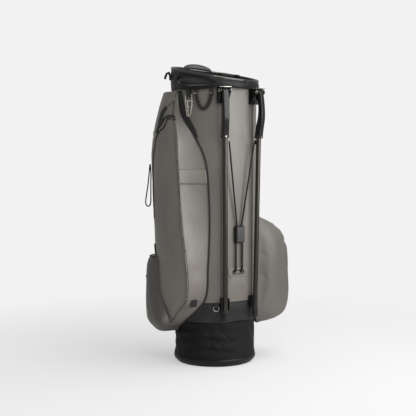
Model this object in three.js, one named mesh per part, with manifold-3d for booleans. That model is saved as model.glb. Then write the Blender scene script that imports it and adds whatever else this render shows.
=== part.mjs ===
// Golf stand bag with two folding legs. Millimetres, +Z up, the front (the leg side) faces -Y.
// The origin is the centre of the underside of the base, where the bag stands on the floor.
import * as THREE from 'three';
import { mergeVertices } from 'three/addons/utils/BufferGeometryUtils.js';
import Module from 'manifold-3d';

const wasm = await Module();
wasm.setup();

// Driving dimensions
const GAP = 0.3; // between pieces that touch
const TUBE_R = 124.5; // outside of the round tube
const FLAT_INSET = 10.5; // how far the flat front lies inside the round outline
const TUBE_WALL = 3;
const BASE_INSET = 2.8; // how far the base lies inside the tube's outline
const BASE_HEIGHT = 22;
const BASE_WALL = 4;
const SOLE_THICKNESS = 3;
const PAD_THICKNESS = 4;
const BOOT_HEIGHT = 108; // soft sleeve between the base and the lower frame
const BOOT_WALL = 1.6;
const FRAME_HEIGHT = 59; // moulded ring at the foot of the tube
const FRAME_WALL = 6;
const TUBE_LENGTH = 621;
const COLLAR_WALL = 7;
const COLLAR_OVERHANG = 6.5; // how far the collar stands out past the tube
const COLLAR_RISE = 45; // height of the collar on the axis
const COLLAR_TILT_BACK = 0.2; // the rim climbs towards the back
const COLLAR_TILT_SIDE = 0.045; // and towards the pocket side
const BEAD_R = 3; // rounded bead that runs round the rim
const DIVIDER_HEIGHT = 16;
const DIVIDER_BAR = 7;
const SHEET = 2; // thickness of a divider sheet
const PANEL_THICKNESS = 1.6;
const LEG_SPREAD = 63; // pivot, from the middle plane
const LEG_TOE_OUT = 20; // degrees that each pivot pin is turned outwards
const PIVOT_STANDOFF = 22; // pivot, in front of the flat
const PIVOT_DROP = 9.5; // pivot, below the collar
const LEG_LENGTH = 654; // pivot to the middle of the foot
const LEG_TUBE_R = 7;
const LEG_TUBE_WALL = 1.2;
const FOOT_R = 9;
const HOUSING_LENGTH = 134;
const HOUSING_WIDTH = 19;
const PIN_R = 3;
const EAR = 7; // thickness of a bracket's ear
const FOLDED_IN = 9; // how far each foot sits nearer the middle than its pivot
const FOLDED_BACK = 8; // and nearer the flat
const ROD_R = 2.5;
const ROD_SPACING = 23; // between the two rods under the slider
const SLIDER_WIDTH = 33;
const SLIDER_HEIGHT = 50;
const SLIDER_DEPTH = 12;
const SLIDER_Z = 363; // underside of the slider at rest
const SLOT_WIDTH = 42;
const SLOT_HEIGHT = 11;
const SLOT_Z = 277;
const HINGE_Z = 26; // axis that the bag leans about
const HINGE_INSET = 15.7; // from the outside of the base to that axis
const APPAREL_BOTTOM = 115;
const APPAREL_DEPTH = 1; // scales how far the large side pocket stands out
const BALL_BOTTOM = 108;
const BALL_HEIGHT = 327;
const BALL_ROWS = 327; // height that the rows of the ball pocket are measured on
const BALL_DEPTH = 107;
const POUCH_BOTTOM = 98;
const POUCH_HEIGHT = 222;

// Places that follow from them
const BASE_R = TUBE_R - BASE_INSET;
const BOOT_Z = BASE_HEIGHT + GAP;
const FRAME_Z = BOOT_Z + BOOT_HEIGHT + GAP;
const TUBE_Z = FRAME_Z + FRAME_HEIGHT + GAP;
const COLLAR_Z = TUBE_Z + TUBE_LENGTH + GAP;
const FLAT_Y = -(TUBE_R - FLAT_INSET);
const PANEL_Y = FLAT_Y - GAP - PANEL_THICKNESS;
const COLLAR_R = TUBE_R + COLLAR_OVERHANG;
const RIM_Z = COLLAR_Z + COLLAR_RISE;
const HINGE_Y = -(BASE_R - HINGE_INSET);
const PIVOT_Y = FLAT_Y - PIVOT_STANDOFF;
const PIVOT_Z = COLLAR_Z - PIVOT_DROP;
const ROD_Y = PANEL_Y - ROD_R - 3;
const ROUND = 20; // half the number of sides of a round outline
const radians = THREE.MathUtils.degToRad;

// Colours and finishes
const finish = (color, roughness, metalness = 0) =>
  new THREE.MeshStandardMaterial({ color, roughness, metalness });
const LEATHER = finish(0x9a958b, 0.55);
const LEATHER_DARK = finish(0x67625d, 0.55);
const BOOT_FABRIC = finish(0x1e1c1d, 0.85);
const MOULDED = finish(0x2d2c2d, 0.45);
const MOULDED_SOFT = finish(0x3a393a, 0.6);
const WEBBING = finish(0x151515, 0.8);
const LINING = finish(0x2a2a2b, 0.9);
const RUBBER = finish(0x141414, 0.9);
const TUBE_METAL = finish(0x4a4745, 0.35, 0.8);
const NICKEL = finish(0xcfc9bd, 0.25, 1);
const WIRE = finish(0x1a1a1a, 0.4, 0.4);

const bag = new THREE.Group();

function piece(name, geometry, material, parent = bag) {
  const mesh = new THREE.Mesh(geometry, material);
  mesh.name = name;
  parent.add(mesh);
  return mesh;
}

// Booleans
function solid(geometry) {
  const bare = geometry.clone();
  bare.deleteAttribute('normal');
  bare.deleteAttribute('uv');
  const merged = mergeVertices(bare, 1e-4);
  return new wasm.Manifold(
    new wasm.Mesh({
      numProp: 3,
      vertProperties: new Float32Array(merged.attributes.position.array),
      triVerts: new Uint32Array(merged.index.array),
    }),
  );
}

function geometryOf(manifold) {
  const mesh = manifold.getMesh();
  const geometry = new THREE.BufferGeometry();
  geometry.setAttribute('position', new THREE.BufferAttribute(mesh.vertProperties, 3));
  geometry.setIndex(new THREE.BufferAttribute(mesh.triVerts, 1));
  return geometry;
}

const cut = (body, ...tools) =>
  geometryOf(tools.reduce((left, tool) => left.subtract(solid(tool)), solid(body)));
const join = (body, ...others) =>
  geometryOf(others.reduce((sum, other) => sum.add(solid(other)), solid(body)));
const common = (body, tool) => geometryOf(solid(body).intersect(solid(tool)));

// Shapes and primitives
const shape = (points) => new THREE.Shape(points.map(([x, y]) => new THREE.Vector2(x, y)));

function prism(outline, z0, z1, curveSegments = ROUND) {
  const depth = z1 - z0;
  const solid = new THREE.ExtrudeGeometry(outline, { depth, bevelEnabled: false, curveSegments });
  return solid.translate(0, 0, z0);
}

// An outline drawn in Y and Z, given its thickness along X
function prismX(outline, x0, x1, curveSegments = 6) {
  const turn = new THREE.Matrix4().makeBasis(
    new THREE.Vector3(0, 1, 0),
    new THREE.Vector3(0, 0, 1),
    new THREE.Vector3(1, 0, 0),
  );
  return prism(outline, x0, x1, curveSegments).applyMatrix4(turn);
}

// An outline drawn in X and Z, given its thickness along Y
function prismY(outline, y0, y1, curveSegments = 8) {
  return prism(outline, -y1, -y0, curveSegments).rotateX(Math.PI / 2);
}

function block(x0, x1, y0, y1, z0, z1) {
  const box = new THREE.BoxGeometry(x1 - x0, y1 - y0, z1 - z0);
  return box.translate((x0 + x1) / 2, (y0 + y1) / 2, (z0 + z1) / 2);
}

function pinX(radius, x0, x1, y, z, sides = 16) {
  const pin = new THREE.CylinderGeometry(radius, radius, x1 - x0, sides);
  return pin.rotateZ(Math.PI / 2).translate((x0 + x1) / 2, y, z);
}

const lathe = (profile) =>
  new THREE.LatheGeometry(profile.map(([r, z]) => new THREE.Vector2(r, z)), 2 * ROUND).rotateX(Math.PI / 2);

function circle(radius, x = 0, y = 0) {
  const outline = new THREE.Shape();
  outline.absarc(x, y, radius, 0, 2 * Math.PI, false);
  return outline;
}

function slotShape(width, height, x = 0, y = 0) {
  const half = (width - height) / 2;
  const outline = new THREE.Shape();
  outline.absarc(x + half, y, height / 2, -Math.PI / 2, Math.PI / 2, false);
  outline.absarc(x - half, y, height / 2, Math.PI / 2, 1.5 * Math.PI, false);
  return outline;
}

const withHole = (outline, hole) => {
  outline.holes.push(hole);
  return outline;
};

// A round bar or a flat strap along a smooth curve
function sweep(points, outline, steps, curveSegments = 4) {
  const corners = points.map((p) => new THREE.Vector3(...p));
  const extrudePath = new THREE.CatmullRomCurve3(corners, false, 'centripetal');
  return new THREE.ExtrudeGeometry(outline, { steps, extrudePath, bevelEnabled: false, curveSegments });
}

// A flat strap whose middle line is drawn in Y and Z, with its width along X
function bentStrap(points, thickness, width, steps) {
  const line = new THREE.SplineCurve(points.map(([y, z]) => new THREE.Vector2(y, z)));
  const sides = [1, -1].map((side) =>
    Array.from({ length: steps + 1 }, (_, i) => {
      const tangent = line.getTangent(i / steps);
      const point = line.getPoint(i / steps);
      return [point.x - (side * tangent.y * thickness) / 2, point.y + (side * tangent.x * thickness) / 2];
    }),
  );
  return prismX(shape([...sides[0], ...sides[1].reverse()]), -width / 2, width / 2);
}

const straightRod = (from, to, radius) => sweep([from, to], circle(radius), 1);

// The outline of the tube, a circle with a flat front, moved out by an offset
function tubeOutline(offset) {
  const radius = TUBE_R + offset;
  const half = Math.acos((TUBE_R - FLAT_INSET + offset) / radius);
  const outline = new THREE.Shape();
  outline.absarc(0, 0, radius, half - Math.PI / 2, 1.5 * Math.PI - half, false);
  outline.closePath();
  return outline;
}

const tubeRing = (outer, inner, z0, z1) =>
  prism(withHole(tubeOutline(outer), tubeOutline(inner)), z0, z1);

// A point round the tube: degrees from the front, positive towards +X, and a stand-off
function around(degrees, standoff, z) {
  const radius = TUBE_R + standoff;
  return [radius * Math.sin(radians(degrees)), -radius * Math.cos(radians(degrees)), z];
}

// A group at a place on the tube, its -Y facing straight out
function station(degrees, standoff, z) {
  const group = new THREE.Group();
  group.position.set(...around(degrees, standoff, z));
  group.rotation.z = radians(degrees);
  bag.add(group);
  return group;
}

// A closed shell lofted through outlines that all have the same number of points
function loft(levels, outlines) {
  const count = outlines[0].length;
  const reference = Array.from({ length: count }, (_, i) => {
    const turn = (2 * Math.PI * i) / count;
    return [Math.cos(turn), Math.sin(turn)];
  });
  const steps = levels.length - 1;
  const geometry = new THREE.ExtrudeGeometry(shape(reference), { depth: steps, steps, bevelEnabled: false });
  const position = geometry.attributes.position;
  for (let i = 0; i < position.count; i++) {
    const turn = Math.atan2(position.getY(i), position.getX(i)) / (2 * Math.PI);
    const point = (Math.round(turn * count) + count) % count;
    const level = Math.round(position.getZ(i));
    const [x, y] = outlines[level][point];
    position.setXYZ(i, x, y, levels[level]);
  }
  return geometry;
}

// Smooths a coarse outline into the given number of points
function smoothOutline(points, count) {
  const corners = points.map(([x, y]) => new THREE.Vector3(x, y, 0));
  const curve = new THREE.CatmullRomCurve3(corners, true, 'centripetal');
  return curve.getSpacedPoints(count).slice(0, count).map((p) => [p.x, p.y]);
}

// A pocket from rows of [height share, then angle and stand-off pairs], cut to fit the tube
function pocket(bottom, height, rows, scale = 1) {
  const count = 20;
  const levels = rows.map(([share]) => bottom + share * height);
  const outlines = rows.map(([, ...pairs]) =>
    smoothOutline(pairs.map(([degrees, standoff]) =>
      around(degrees, standoff > 0 ? standoff * scale : standoff, 0)), count));
  return cut(loft(levels, outlines), prism(tubeOutline(GAP), bottom - 1, bottom + height + 1));
}

// Everything under the rim, which climbs to the back and to one side
function underRim(lift, bottom) {
  const size = 4 * TUBE_R;
  const slab = block(-size, size, -size, size, bottom - RIM_Z, 0);
  const position = slab.attributes.position;
  for (let i = 0; i < position.count; i++) {
    const climb = COLLAR_TILT_BACK * position.getY(i) - COLLAR_TILT_SIDE * position.getX(i);
    position.setZ(i, position.getZ(i) < 0 ? bottom : RIM_Z + lift + climb);
  }
  return slab;
}

const rimZ = (x, y) => RIM_Z + COLLAR_TILT_BACK * y - COLLAR_TILT_SIDE * x;

// Base: the rubber sole, the moulded foot, the pad for the club grips and the hinge pin
function addBase() {
  const soleR = BASE_R - 8;
  const floorZ = SOLE_THICKNESS + GAP;
  const padZ = floorZ + BASE_WALL + GAP;
  const lugX = 33;
  const lugHalf = 6;
  const sole = [[0, 0], [soleR - 2, 0], [soleR, 1], [soleR, SOLE_THICKNESS], [0, SOLE_THICKNESS]];
  piece('base_sole', lathe(sole), RUBBER);
  const cup = lathe([
    [0, floorZ], [BASE_R - 8, floorZ], [BASE_R - 2, floorZ + 3], [BASE_R, floorZ + 8], [BASE_R, BASE_HEIGHT],
    [BASE_R - BASE_WALL, BASE_HEIGHT], [BASE_R - BASE_WALL, floorZ + BASE_WALL], [0, floorZ + BASE_WALL],
  ]);
  const lug = (x0) => block(x0, x0 + 7, HINGE_Y - lugHalf, HINGE_Y + lugHalf, floorZ + 1, HINGE_Z + lugHalf);
  const bore = pinX(PIN_R + GAP, -BASE_R, BASE_R, HINGE_Y, HINGE_Z);
  piece('base_foot', cut(join(cup, lug(lugX), lug(-lugX - 7)), bore), MOULDED);
  const padR = BASE_R - BASE_WALL - 3;
  const padFront = HINGE_Y + lugHalf + 5;
  const pad = prism(circle(padR), padZ, padZ + PAD_THICKNESS);
  piece('base_liner_pad', cut(pad, block(-BASE_R, BASE_R, -BASE_R, padFront, 0, BASE_HEIGHT)), LINING);
  piece('base_hinge_pin', pinX(PIN_R, -lugX - 7, lugX + 7, HINGE_Y, HINGE_Z), NICKEL);
  const bootR = BASE_R - 0.5;
  const sleeve = withHole(circle(bootR), circle(bootR - BOOT_WALL));
  piece('boot', prism(sleeve, BOOT_Z, BOOT_Z + BOOT_HEIGHT), BOOT_FABRIC);
}

// Lower frame and the bracket that reaches down inside the boot to the hinge pin
function addLowerFrame() {
  const bandZ = FRAME_Z + FRAME_HEIGHT - 24;
  const ring = tubeRing(-0.8, -FRAME_WALL, FRAME_Z, FRAME_Z + FRAME_HEIGHT);
  const band = tubeRing(0, -FRAME_WALL, bandZ, FRAME_Z + FRAME_HEIGHT - 3);
  piece('lower_frame', join(ring, band), MOULDED_SOFT);
  const armX = 22;
  const armThickness = 5;
  const head = 6.5;
  const frontY = FLAT_Y + FRAME_WALL + GAP;
  const backY = frontY + 4 * ROD_R;
  const topZ = FRAME_Z + FRAME_HEIGHT - 8;
  const arm = new THREE.Shape();
  arm.moveTo(HINGE_Y - head, HINGE_Z);
  arm.absarc(HINGE_Y, HINGE_Z, head, Math.PI, 2 * Math.PI, false);
  arm.lineTo(HINGE_Y + head, FRAME_Z - 30);
  arm.lineTo(backY, FRAME_Z - 6);
  arm.lineTo(backY, topZ);
  arm.lineTo(frontY, topZ);
  arm.lineTo(frontY, FRAME_Z - 4);
  arm.lineTo(HINGE_Y - head, FRAME_Z - 20);
  arm.closePath();
  const arms = [armX, -armX - armThickness].map((x) => prismX(arm, x, x + armThickness));
  const plate = block(-armX - 1, armX + 1, backY - 4, backY, FRAME_Z + 8, topZ);
  const bore = pinX(PIN_R + 0.6, -BASE_R, BASE_R, HINGE_Y, HINGE_Z);
  piece('hinge_bracket', cut(join(plate, ...arms), bore), MOULDED);
}

// Tube shell, the flat front panel and the stitched patch round the rod slot
function addTube() {
  const slot = prismY(slotShape(SLOT_WIDTH, SLOT_HEIGHT, 0, SLOT_Z), -2 * TUBE_R, -TUBE_R / 2);
  const shell = tubeRing(0, -TUBE_WALL, TUBE_Z, TUBE_Z + TUBE_LENGTH);
  piece('tube_shell', cut(shell, slot), LEATHER);
  const flatHalf = Math.sqrt(TUBE_R ** 2 - FLAT_Y ** 2) - 2;
  const panelTop = TUBE_Z + TUBE_LENGTH - 1;
  const panel = block(-flatHalf, flatHalf, PANEL_Y, PANEL_Y + PANEL_THICKNESS, TUBE_Z + 1, panelTop);
  piece('front_panel', cut(panel, slot), LEATHER);
  const patchY = PANEL_Y - GAP;
  const patch = withHole(
    slotShape(SLOT_WIDTH + 30, SLOT_HEIGHT + 15, 0, SLOT_Z),
    slotShape(SLOT_WIDTH, SLOT_HEIGHT, 0, SLOT_Z),
  );
  piece('slot_patch', prismY(patch, patchY - 1.2, patchY), LEATHER);
}

// Collar with its two grab openings, the bead on its rim and the dome handle
function addCollar() {
  const inner = COLLAR_R - COLLAR_WALL;
  const ring = prism(withHole(circle(COLLAR_R), circle(inner)), COLLAR_Z, RIM_Z + TUBE_R);
  const railHeight = 11;
  const sillHeight = 9;
  const opening = (from, to) => {
    const sector = new THREE.Shape();
    sector.moveTo(...around(from, -30, 0).slice(0, 2));
    [0, 0.5, 1].forEach((t) => sector.lineTo(...around(from + t * (to - from), 60, 0).slice(0, 2)));
    sector.lineTo(...around(to, -30, 0).slice(0, 2));
    return common(prism(sector, COLLAR_Z + sillHeight, RIM_Z + TUBE_R), underRim(-railHeight, COLLAR_Z));
  };
  const collar = common(ring, underRim(0, COLLAR_Z - 1));
  piece('collar', cut(collar, opening(-88, -40), opening(72, 132)), MOULDED);

  const bead = new THREE.TorusGeometry(COLLAR_R - COLLAR_WALL / 2, BEAD_R, 8, 2 * ROUND);
  const position = bead.attributes.position;
  for (let i = 0; i < position.count; i++) {
    const [x, y, z] = [position.getX(i), position.getY(i), position.getZ(i)];
    position.setZ(i, rimZ(x, y) + z + BEAD_R + GAP + 0.1);
  }
  piece('rim_bead', bead, MOULDED);

  // The dome grip, a closed arch that stands on the bead over the back of the mouth
  const gripAt = 170; // degrees from the front
  const gripHalf = 49; // half its span
  const gripRise = 17;
  const gripDepth = 12;
  const seat = COLLAR_R - COLLAR_WALL / 2;
  const [seatX, seatY] = [seat * Math.sin(radians(gripAt)), -seat * Math.cos(radians(gripAt))];
  const dome = new THREE.Shape();
  dome.moveTo(gripHalf, -gripRise);
  dome.lineTo(gripHalf, 0);
  dome.absellipse(0, 0, gripHalf, gripRise, 0, Math.PI, false, 0);
  dome.lineTo(-gripHalf, -gripRise);
  dome.closePath();
  const arch = prismY(dome, -seat - gripDepth, -seat / 2, 12);
  arch.translate(0, 0, rimZ(seatX, seatY) + 2 * BEAD_R).rotateZ(radians(gripAt));
  const band = withHole(circle(seat + gripDepth / 2), circle(seat - gripDepth / 2));
  const under = underRim(2 * BEAD_R + 2 * GAP + 0.2, COLLAR_Z);
  piece('dome_handle', cut(common(arch, prism(band, COLLAR_Z, RIM_Z + 2 * TUBE_R)), under), MOULDED);
}

// Six-way divider in the mouth and the fabric sheets that hang from it
function addDivider() {
  const outer = -(TUBE_WALL + 7.5);
  const dividerZ = COLLAR_Z - 6;
  const half = DIVIDER_BAR / 2;
  const rowY = TUBE_R * 0.31;
  const inside = outer - DIVIDER_BAR;
  const bars = [
    block(-half, half, -TUBE_R, TUBE_R, dividerZ, dividerZ + DIVIDER_HEIGHT),
    ...[-rowY, rowY].map((y) =>
      block(-TUBE_R, TUBE_R, y - half, y + half, dividerZ, dividerZ + DIVIDER_HEIGHT)),
  ];
  const disc = prism(tubeOutline(outer), dividerZ, dividerZ + DIVIDER_HEIGHT);
  const holes = cut(prism(tubeOutline(inside), dividerZ - 1, dividerZ + DIVIDER_HEIGHT + 1), ...bars);
  piece('divider_frame', cut(disc, holes), MOULDED);

  const topZ = dividerZ - GAP;
  const lowZ = TUBE_Z + 6;
  const depth = TUBE_R + outer;
  const wireRoom = 4 * ROD_R;
  const longSheet = block(-SHEET / 2, SHEET / 2, wireRoom - depth + FLAT_INSET, depth, lowZ, topZ);
  piece('divider_sheet_long', longSheet, LINING);
  const reach = Math.sqrt((depth - 1) ** 2 - (rowY + SHEET) ** 2);
  [['front', -rowY], ['back', rowY]].forEach(([row, y]) => {
    [['left', -1], ['right', 1]].forEach(([side, sign]) => {
      const near = sign * (SHEET / 2 + GAP);
      const [x0, x1] = [near, sign * reach].sort((a, b) => a - b);
      const sheet = block(x0, x1, y - SHEET / 2, y + SHEET / 2, lowZ, topZ);
      piece(`divider_sheet_${row}_${side}`, sheet, LINING);
    });
  });

  const stayR = 3;
  [['left', -118], ['right', 118], ['back', 180]].forEach(([side, degrees]) => {
    const [x, y] = around(degrees, -TUBE_WALL - GAP - stayR, 0);
    const stay = new THREE.CylinderGeometry(stayR, stayR, TUBE_LENGTH - 14, 8);
    stay.rotateX(Math.PI / 2).translate(x, y, TUBE_Z + (TUBE_LENGTH - 14) / 2);
    piece(`stay_${side}`, stay, WIRE);
  });
}

// The frame of a folded leg: origin at its pivot, the leg down -Z, the pin along X
function legFrame(sign) {
  const down = new THREE.Vector3(-sign * FOLDED_IN, FOLDED_BACK, 0);
  down.z = -Math.sqrt(LEG_LENGTH ** 2 - FOLDED_IN ** 2 - FOLDED_BACK ** 2);
  const up = down.clone().normalize().negate();
  const pin = new THREE.Vector3(Math.cos(radians(LEG_TOE_OUT)), sign * Math.sin(radians(LEG_TOE_OUT)), 0);
  pin.addScaledVector(up, -pin.dot(up)).normalize();
  const back = new THREE.Vector3().crossVectors(up, pin);
  const group = new THREE.Group();
  group.position.set(sign * LEG_SPREAD, PIVOT_Y, PIVOT_Z);
  group.quaternion.setFromRotationMatrix(new THREE.Matrix4().makeBasis(pin, back, up));
  bag.add(group);
  return group;
}

function inWorld(geometry, group) {
  group.updateMatrixWorld(true);
  return geometry.clone().applyMatrix4(group.matrixWorld);
}

function addLeg(side, sign) {
  const frame = legFrame(sign);
  const half = HOUSING_WIDTH / 2;
  const earInner = half + 0.8;
  const earOuter = earInner + EAR;
  const tubeTop = -HOUSING_LENGTH - GAP;
  const footTop = FOOT_R + 12;

  // Bracket: two ears on a back block that is cut to the tube
  const ears = [earInner, -earOuter].map((x) =>
    join(pinX(8.5, x, x + EAR, 0, 0, 20), block(x, x + EAR, 0, 40, -28, 8.4)));
  const back = block(-earOuter, earOuter, 12, 40, -36, 8.4);
  const bracket = inWorld(cut(join(back, ...ears), pinX(PIN_R + GAP, -60, 60, 0, 0)), frame);
  const clear = prism(tubeOutline(PANEL_THICKNESS + 2 * GAP), 0, 2 * PIVOT_Z);
  piece(`leg_bracket_${side}`, cut(bracket, clear), MOULDED);
  piece(`leg_pin_${side}`, pinX(PIN_R, -earOuter, earOuter, 0, 0), NICKEL, frame);

  // Housing: a moulded link that bows outwards between the pivot and the tube
  const housing = new THREE.Shape();
  housing.moveTo(8.5, 0);
  housing.absarc(0, 0, 8.5, 0, Math.PI, false);
  housing.quadraticCurveTo(-18, -50, -16, -HOUSING_LENGTH * 0.6);
  housing.quadraticCurveTo(-10, -HOUSING_LENGTH + 12, -9.5, -HOUSING_LENGTH);
  housing.lineTo(9.5, -HOUSING_LENGTH);
  housing.quadraticCurveTo(8, -HOUSING_LENGTH + 30, 2, -HOUSING_LENGTH * 0.62);
  housing.quadraticCurveTo(-6, -40, 8.5, 0);
  const link = prismX(housing, -half, half);
  piece(`leg_housing_${side}`, cut(link, pinX(PIN_R + GAP, -60, 60, 0, 0)), MOULDED, frame);

  const tubeOutlineRing = (outer, inner) => withHole(circle(outer), circle(inner));
  const tube = new THREE.ExtrudeGeometry(tubeOutlineRing(LEG_TUBE_R, LEG_TUBE_R - LEG_TUBE_WALL), {
    depth: LEG_LENGTH + tubeTop - 4,
    bevelEnabled: false,
    curveSegments: 8,
  });
  piece(`leg_tube_${side}`, tube.translate(0, 0, 4 - LEG_LENGTH), TUBE_METAL, frame);
  const socket = LEG_TUBE_R + GAP;
  const foot = new THREE.LatheGeometry([
    [0, -FOOT_R], [FOOT_R * 0.6, -FOOT_R * 0.85], [FOOT_R, -FOOT_R * 0.3], [FOOT_R, footTop],
    [socket, footTop], [socket, 4 - GAP], [0, 4 - GAP],
  ].map(([r, z]) => new THREE.Vector2(r, z)), 16);
  piece(`leg_foot_${side}`, foot.rotateX(Math.PI / 2).translate(0, 0, -LEG_LENGTH), RUBBER, frame);

  // Knob on the back of the leg, where the push rod hooks in
  const knobZ = tubeTop - 6;
  const knob = block(-4, 4, LEG_TUBE_R + GAP, LEG_TUBE_R + 6, knobZ - 12, knobZ);
  piece(`rod_knob_${side}`, knob, MOULDED, frame);

  // Cradle on the lower frame that holds the folded leg, open to the front
  const cradleLow = footTop + 2 - LEG_LENGTH;
  const cheek = LEG_TUBE_R + 2.5;
  const cradle = inWorld(
    join(
      block(-cheek - 3, cheek + 3, LEG_TUBE_R + 1.5, 40, cradleLow, cradleLow + 34),
      block(-cheek - 3, -cheek, -2, 40, cradleLow, cradleLow + 34),
      block(cheek, cheek + 3, -2, 40, cradleLow, cradleLow + 34),
    ),
    frame,
  );
  piece(`leg_cradle_${side}`, cut(cradle, clear), MOULDED);
  return { frame, knobZ };
}

// Slider, its two front rods, the wire inside the tube, and the rods that push the legs out
function addActuator(legs) {
  const top = SLIDER_Z + SLIDER_HEIGHT;
  const slider = prism(slotShape(SLIDER_WIDTH, SLIDER_DEPTH), SLIDER_Z, top, 6);
  piece('slider', slider.translate(0, PANEL_Y - 2 * GAP - SLIDER_DEPTH / 2, 0), MOULDED);
  const wireY = FLAT_Y + FRAME_WALL + ROD_R + 0.5;
  [['left', -1], ['right', 1]].forEach(([side, sign]) => {
    const x = (sign * ROD_SPACING) / 2;
    const route = [
      [x, ROD_Y, SLIDER_Z - GAP], [x, ROD_Y, SLOT_Z + 30],
      [x, ROD_Y + 0.2, SLOT_Z + 5], [x, FLAT_Y + 1, SLOT_Z - 2],
    ];
    piece(`front_rod_${side}`, sweep(route, circle(ROD_R), 10), WIRE);
    const { frame, knobZ } = legs[side];
    const beside = HOUSING_WIDTH / 2 + ROD_R + 2;
    const hook = new THREE.Vector3(-sign * beside, 6, knobZ - 4).applyMatrix4(frame.matrixWorld);
    piece(`push_rod_${side}`, straightRod([sign * 8, ROD_Y, top + GAP + 1], hook.toArray(), ROD_R), WIRE);
  });
  const half = ROD_SPACING / 2;
  const wire = [
    [-half, wireY, SLOT_Z - 14], [-half, wireY, HINGE_Z + 40], [-half + 4, wireY, HINGE_Z + 25],
    [half - 4, wireY, HINGE_Z + 25], [half, wireY, HINGE_Z + 40], [half, wireY, SLOT_Z - 14],
  ];
  piece('lift_wire', sweep(wire, circle(ROD_R), 26), WIRE);
}

// Small metal and webbing pieces on the outside of the tube
function addHardware() {
  // D-ring on a webbing tab, low on the front
  const ringZ = TUBE_Z - 11;
  const tab = station(-34, 1.2, ringZ);
  const tabBody = block(-6, 6, -4.9, 0, -3, 12);
  piece('d_ring_tab', cut(tabBody, block(-10, 10, -4.1, -0.5, -1.8, 1.8)), WEBBING, tab);
  const ringOutline = new THREE.Shape();
  ringOutline.moveTo(-9, 1.1);
  ringOutline.lineTo(-9, -5);
  ringOutline.absarc(0, -5, 9, Math.PI, 2 * Math.PI, false);
  ringOutline.lineTo(9, 1.1);
  const ringHole = new THREE.Shape();
  ringHole.moveTo(-6.8, -1.1);
  ringHole.lineTo(-6.8, -5);
  ringHole.absarc(0, -5, 6.8, Math.PI, 2 * Math.PI, false);
  ringHole.lineTo(6.8, -1.1);
  const ring = prism(withHole(ringOutline, ringHole), 0, 2.2, 8);
  piece('d_ring', ring.rotateX(Math.PI / 2).translate(0, -1.2, 0), NICKEL, tab);

  // Snap hook hanging from a short strap under the collar
  const hookZ = COLLAR_Z - 20;
  const hang = station(-72, 1, hookZ);
  const strap = block(-7, 7, -5.6, 0, -4, 19.4);
  piece('hook_strap', cut(strap, block(-20, 20, -4.8, -0.4, -2.2, 2.2)), WEBBING, hang);
  const hookOutline = shape([[-12, 1.3], [-14, -16], [-7, -62], [7, -62], [14, -16], [12, 1.3]]);
  const upperHole = shape([[-9, -1.3], [-10.6, -14.5], [10.6, -14.5], [9, -1.3]].reverse());
  const lowerHole = shape([[-10.6, -17.8], [-4.6, -58.6], [4.6, -58.6], [10.6, -17.8]].reverse());
  hookOutline.holes.push(upperHole, lowerHole);
  const hook = new THREE.ExtrudeGeometry(hookOutline, { depth: 2.4, bevelEnabled: false });
  piece('snap_hook', hook.rotateX(Math.PI / 2).translate(0, -1.4, 0), NICKEL, hang);

  // Soft loop riveted under the collar
  const loopPlace = (degrees, z) => around(degrees, 5, z);
  const loopWidth = shape([[-1.8, -5], [1.8, -5], [1.8, 5], [-1.8, 5]]);
  const loop = [[-61, -3], [-60, -26], [-56, -50], [-50.5, -60], [-45, -50], [-41, -26], [-40, -3]];
  const loopPath = loop.map(([degrees, z]) => loopPlace(degrees, COLLAR_Z + z));
  piece('hanging_loop', sweep(loopPath, loopWidth, 24), WEBBING);
  [['front', -40.8], ['back', -60.6]].forEach(([where, degrees]) => {
    const head = new THREE.CylinderGeometry(3, 3.6, 1.8, 10);
    const spot = station(degrees, 12, COLLAR_Z - 16);
    piece(`loop_rivet_${where}`, head.rotateX(Math.PI / 2), NICKEL, spot);
  });
}

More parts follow.
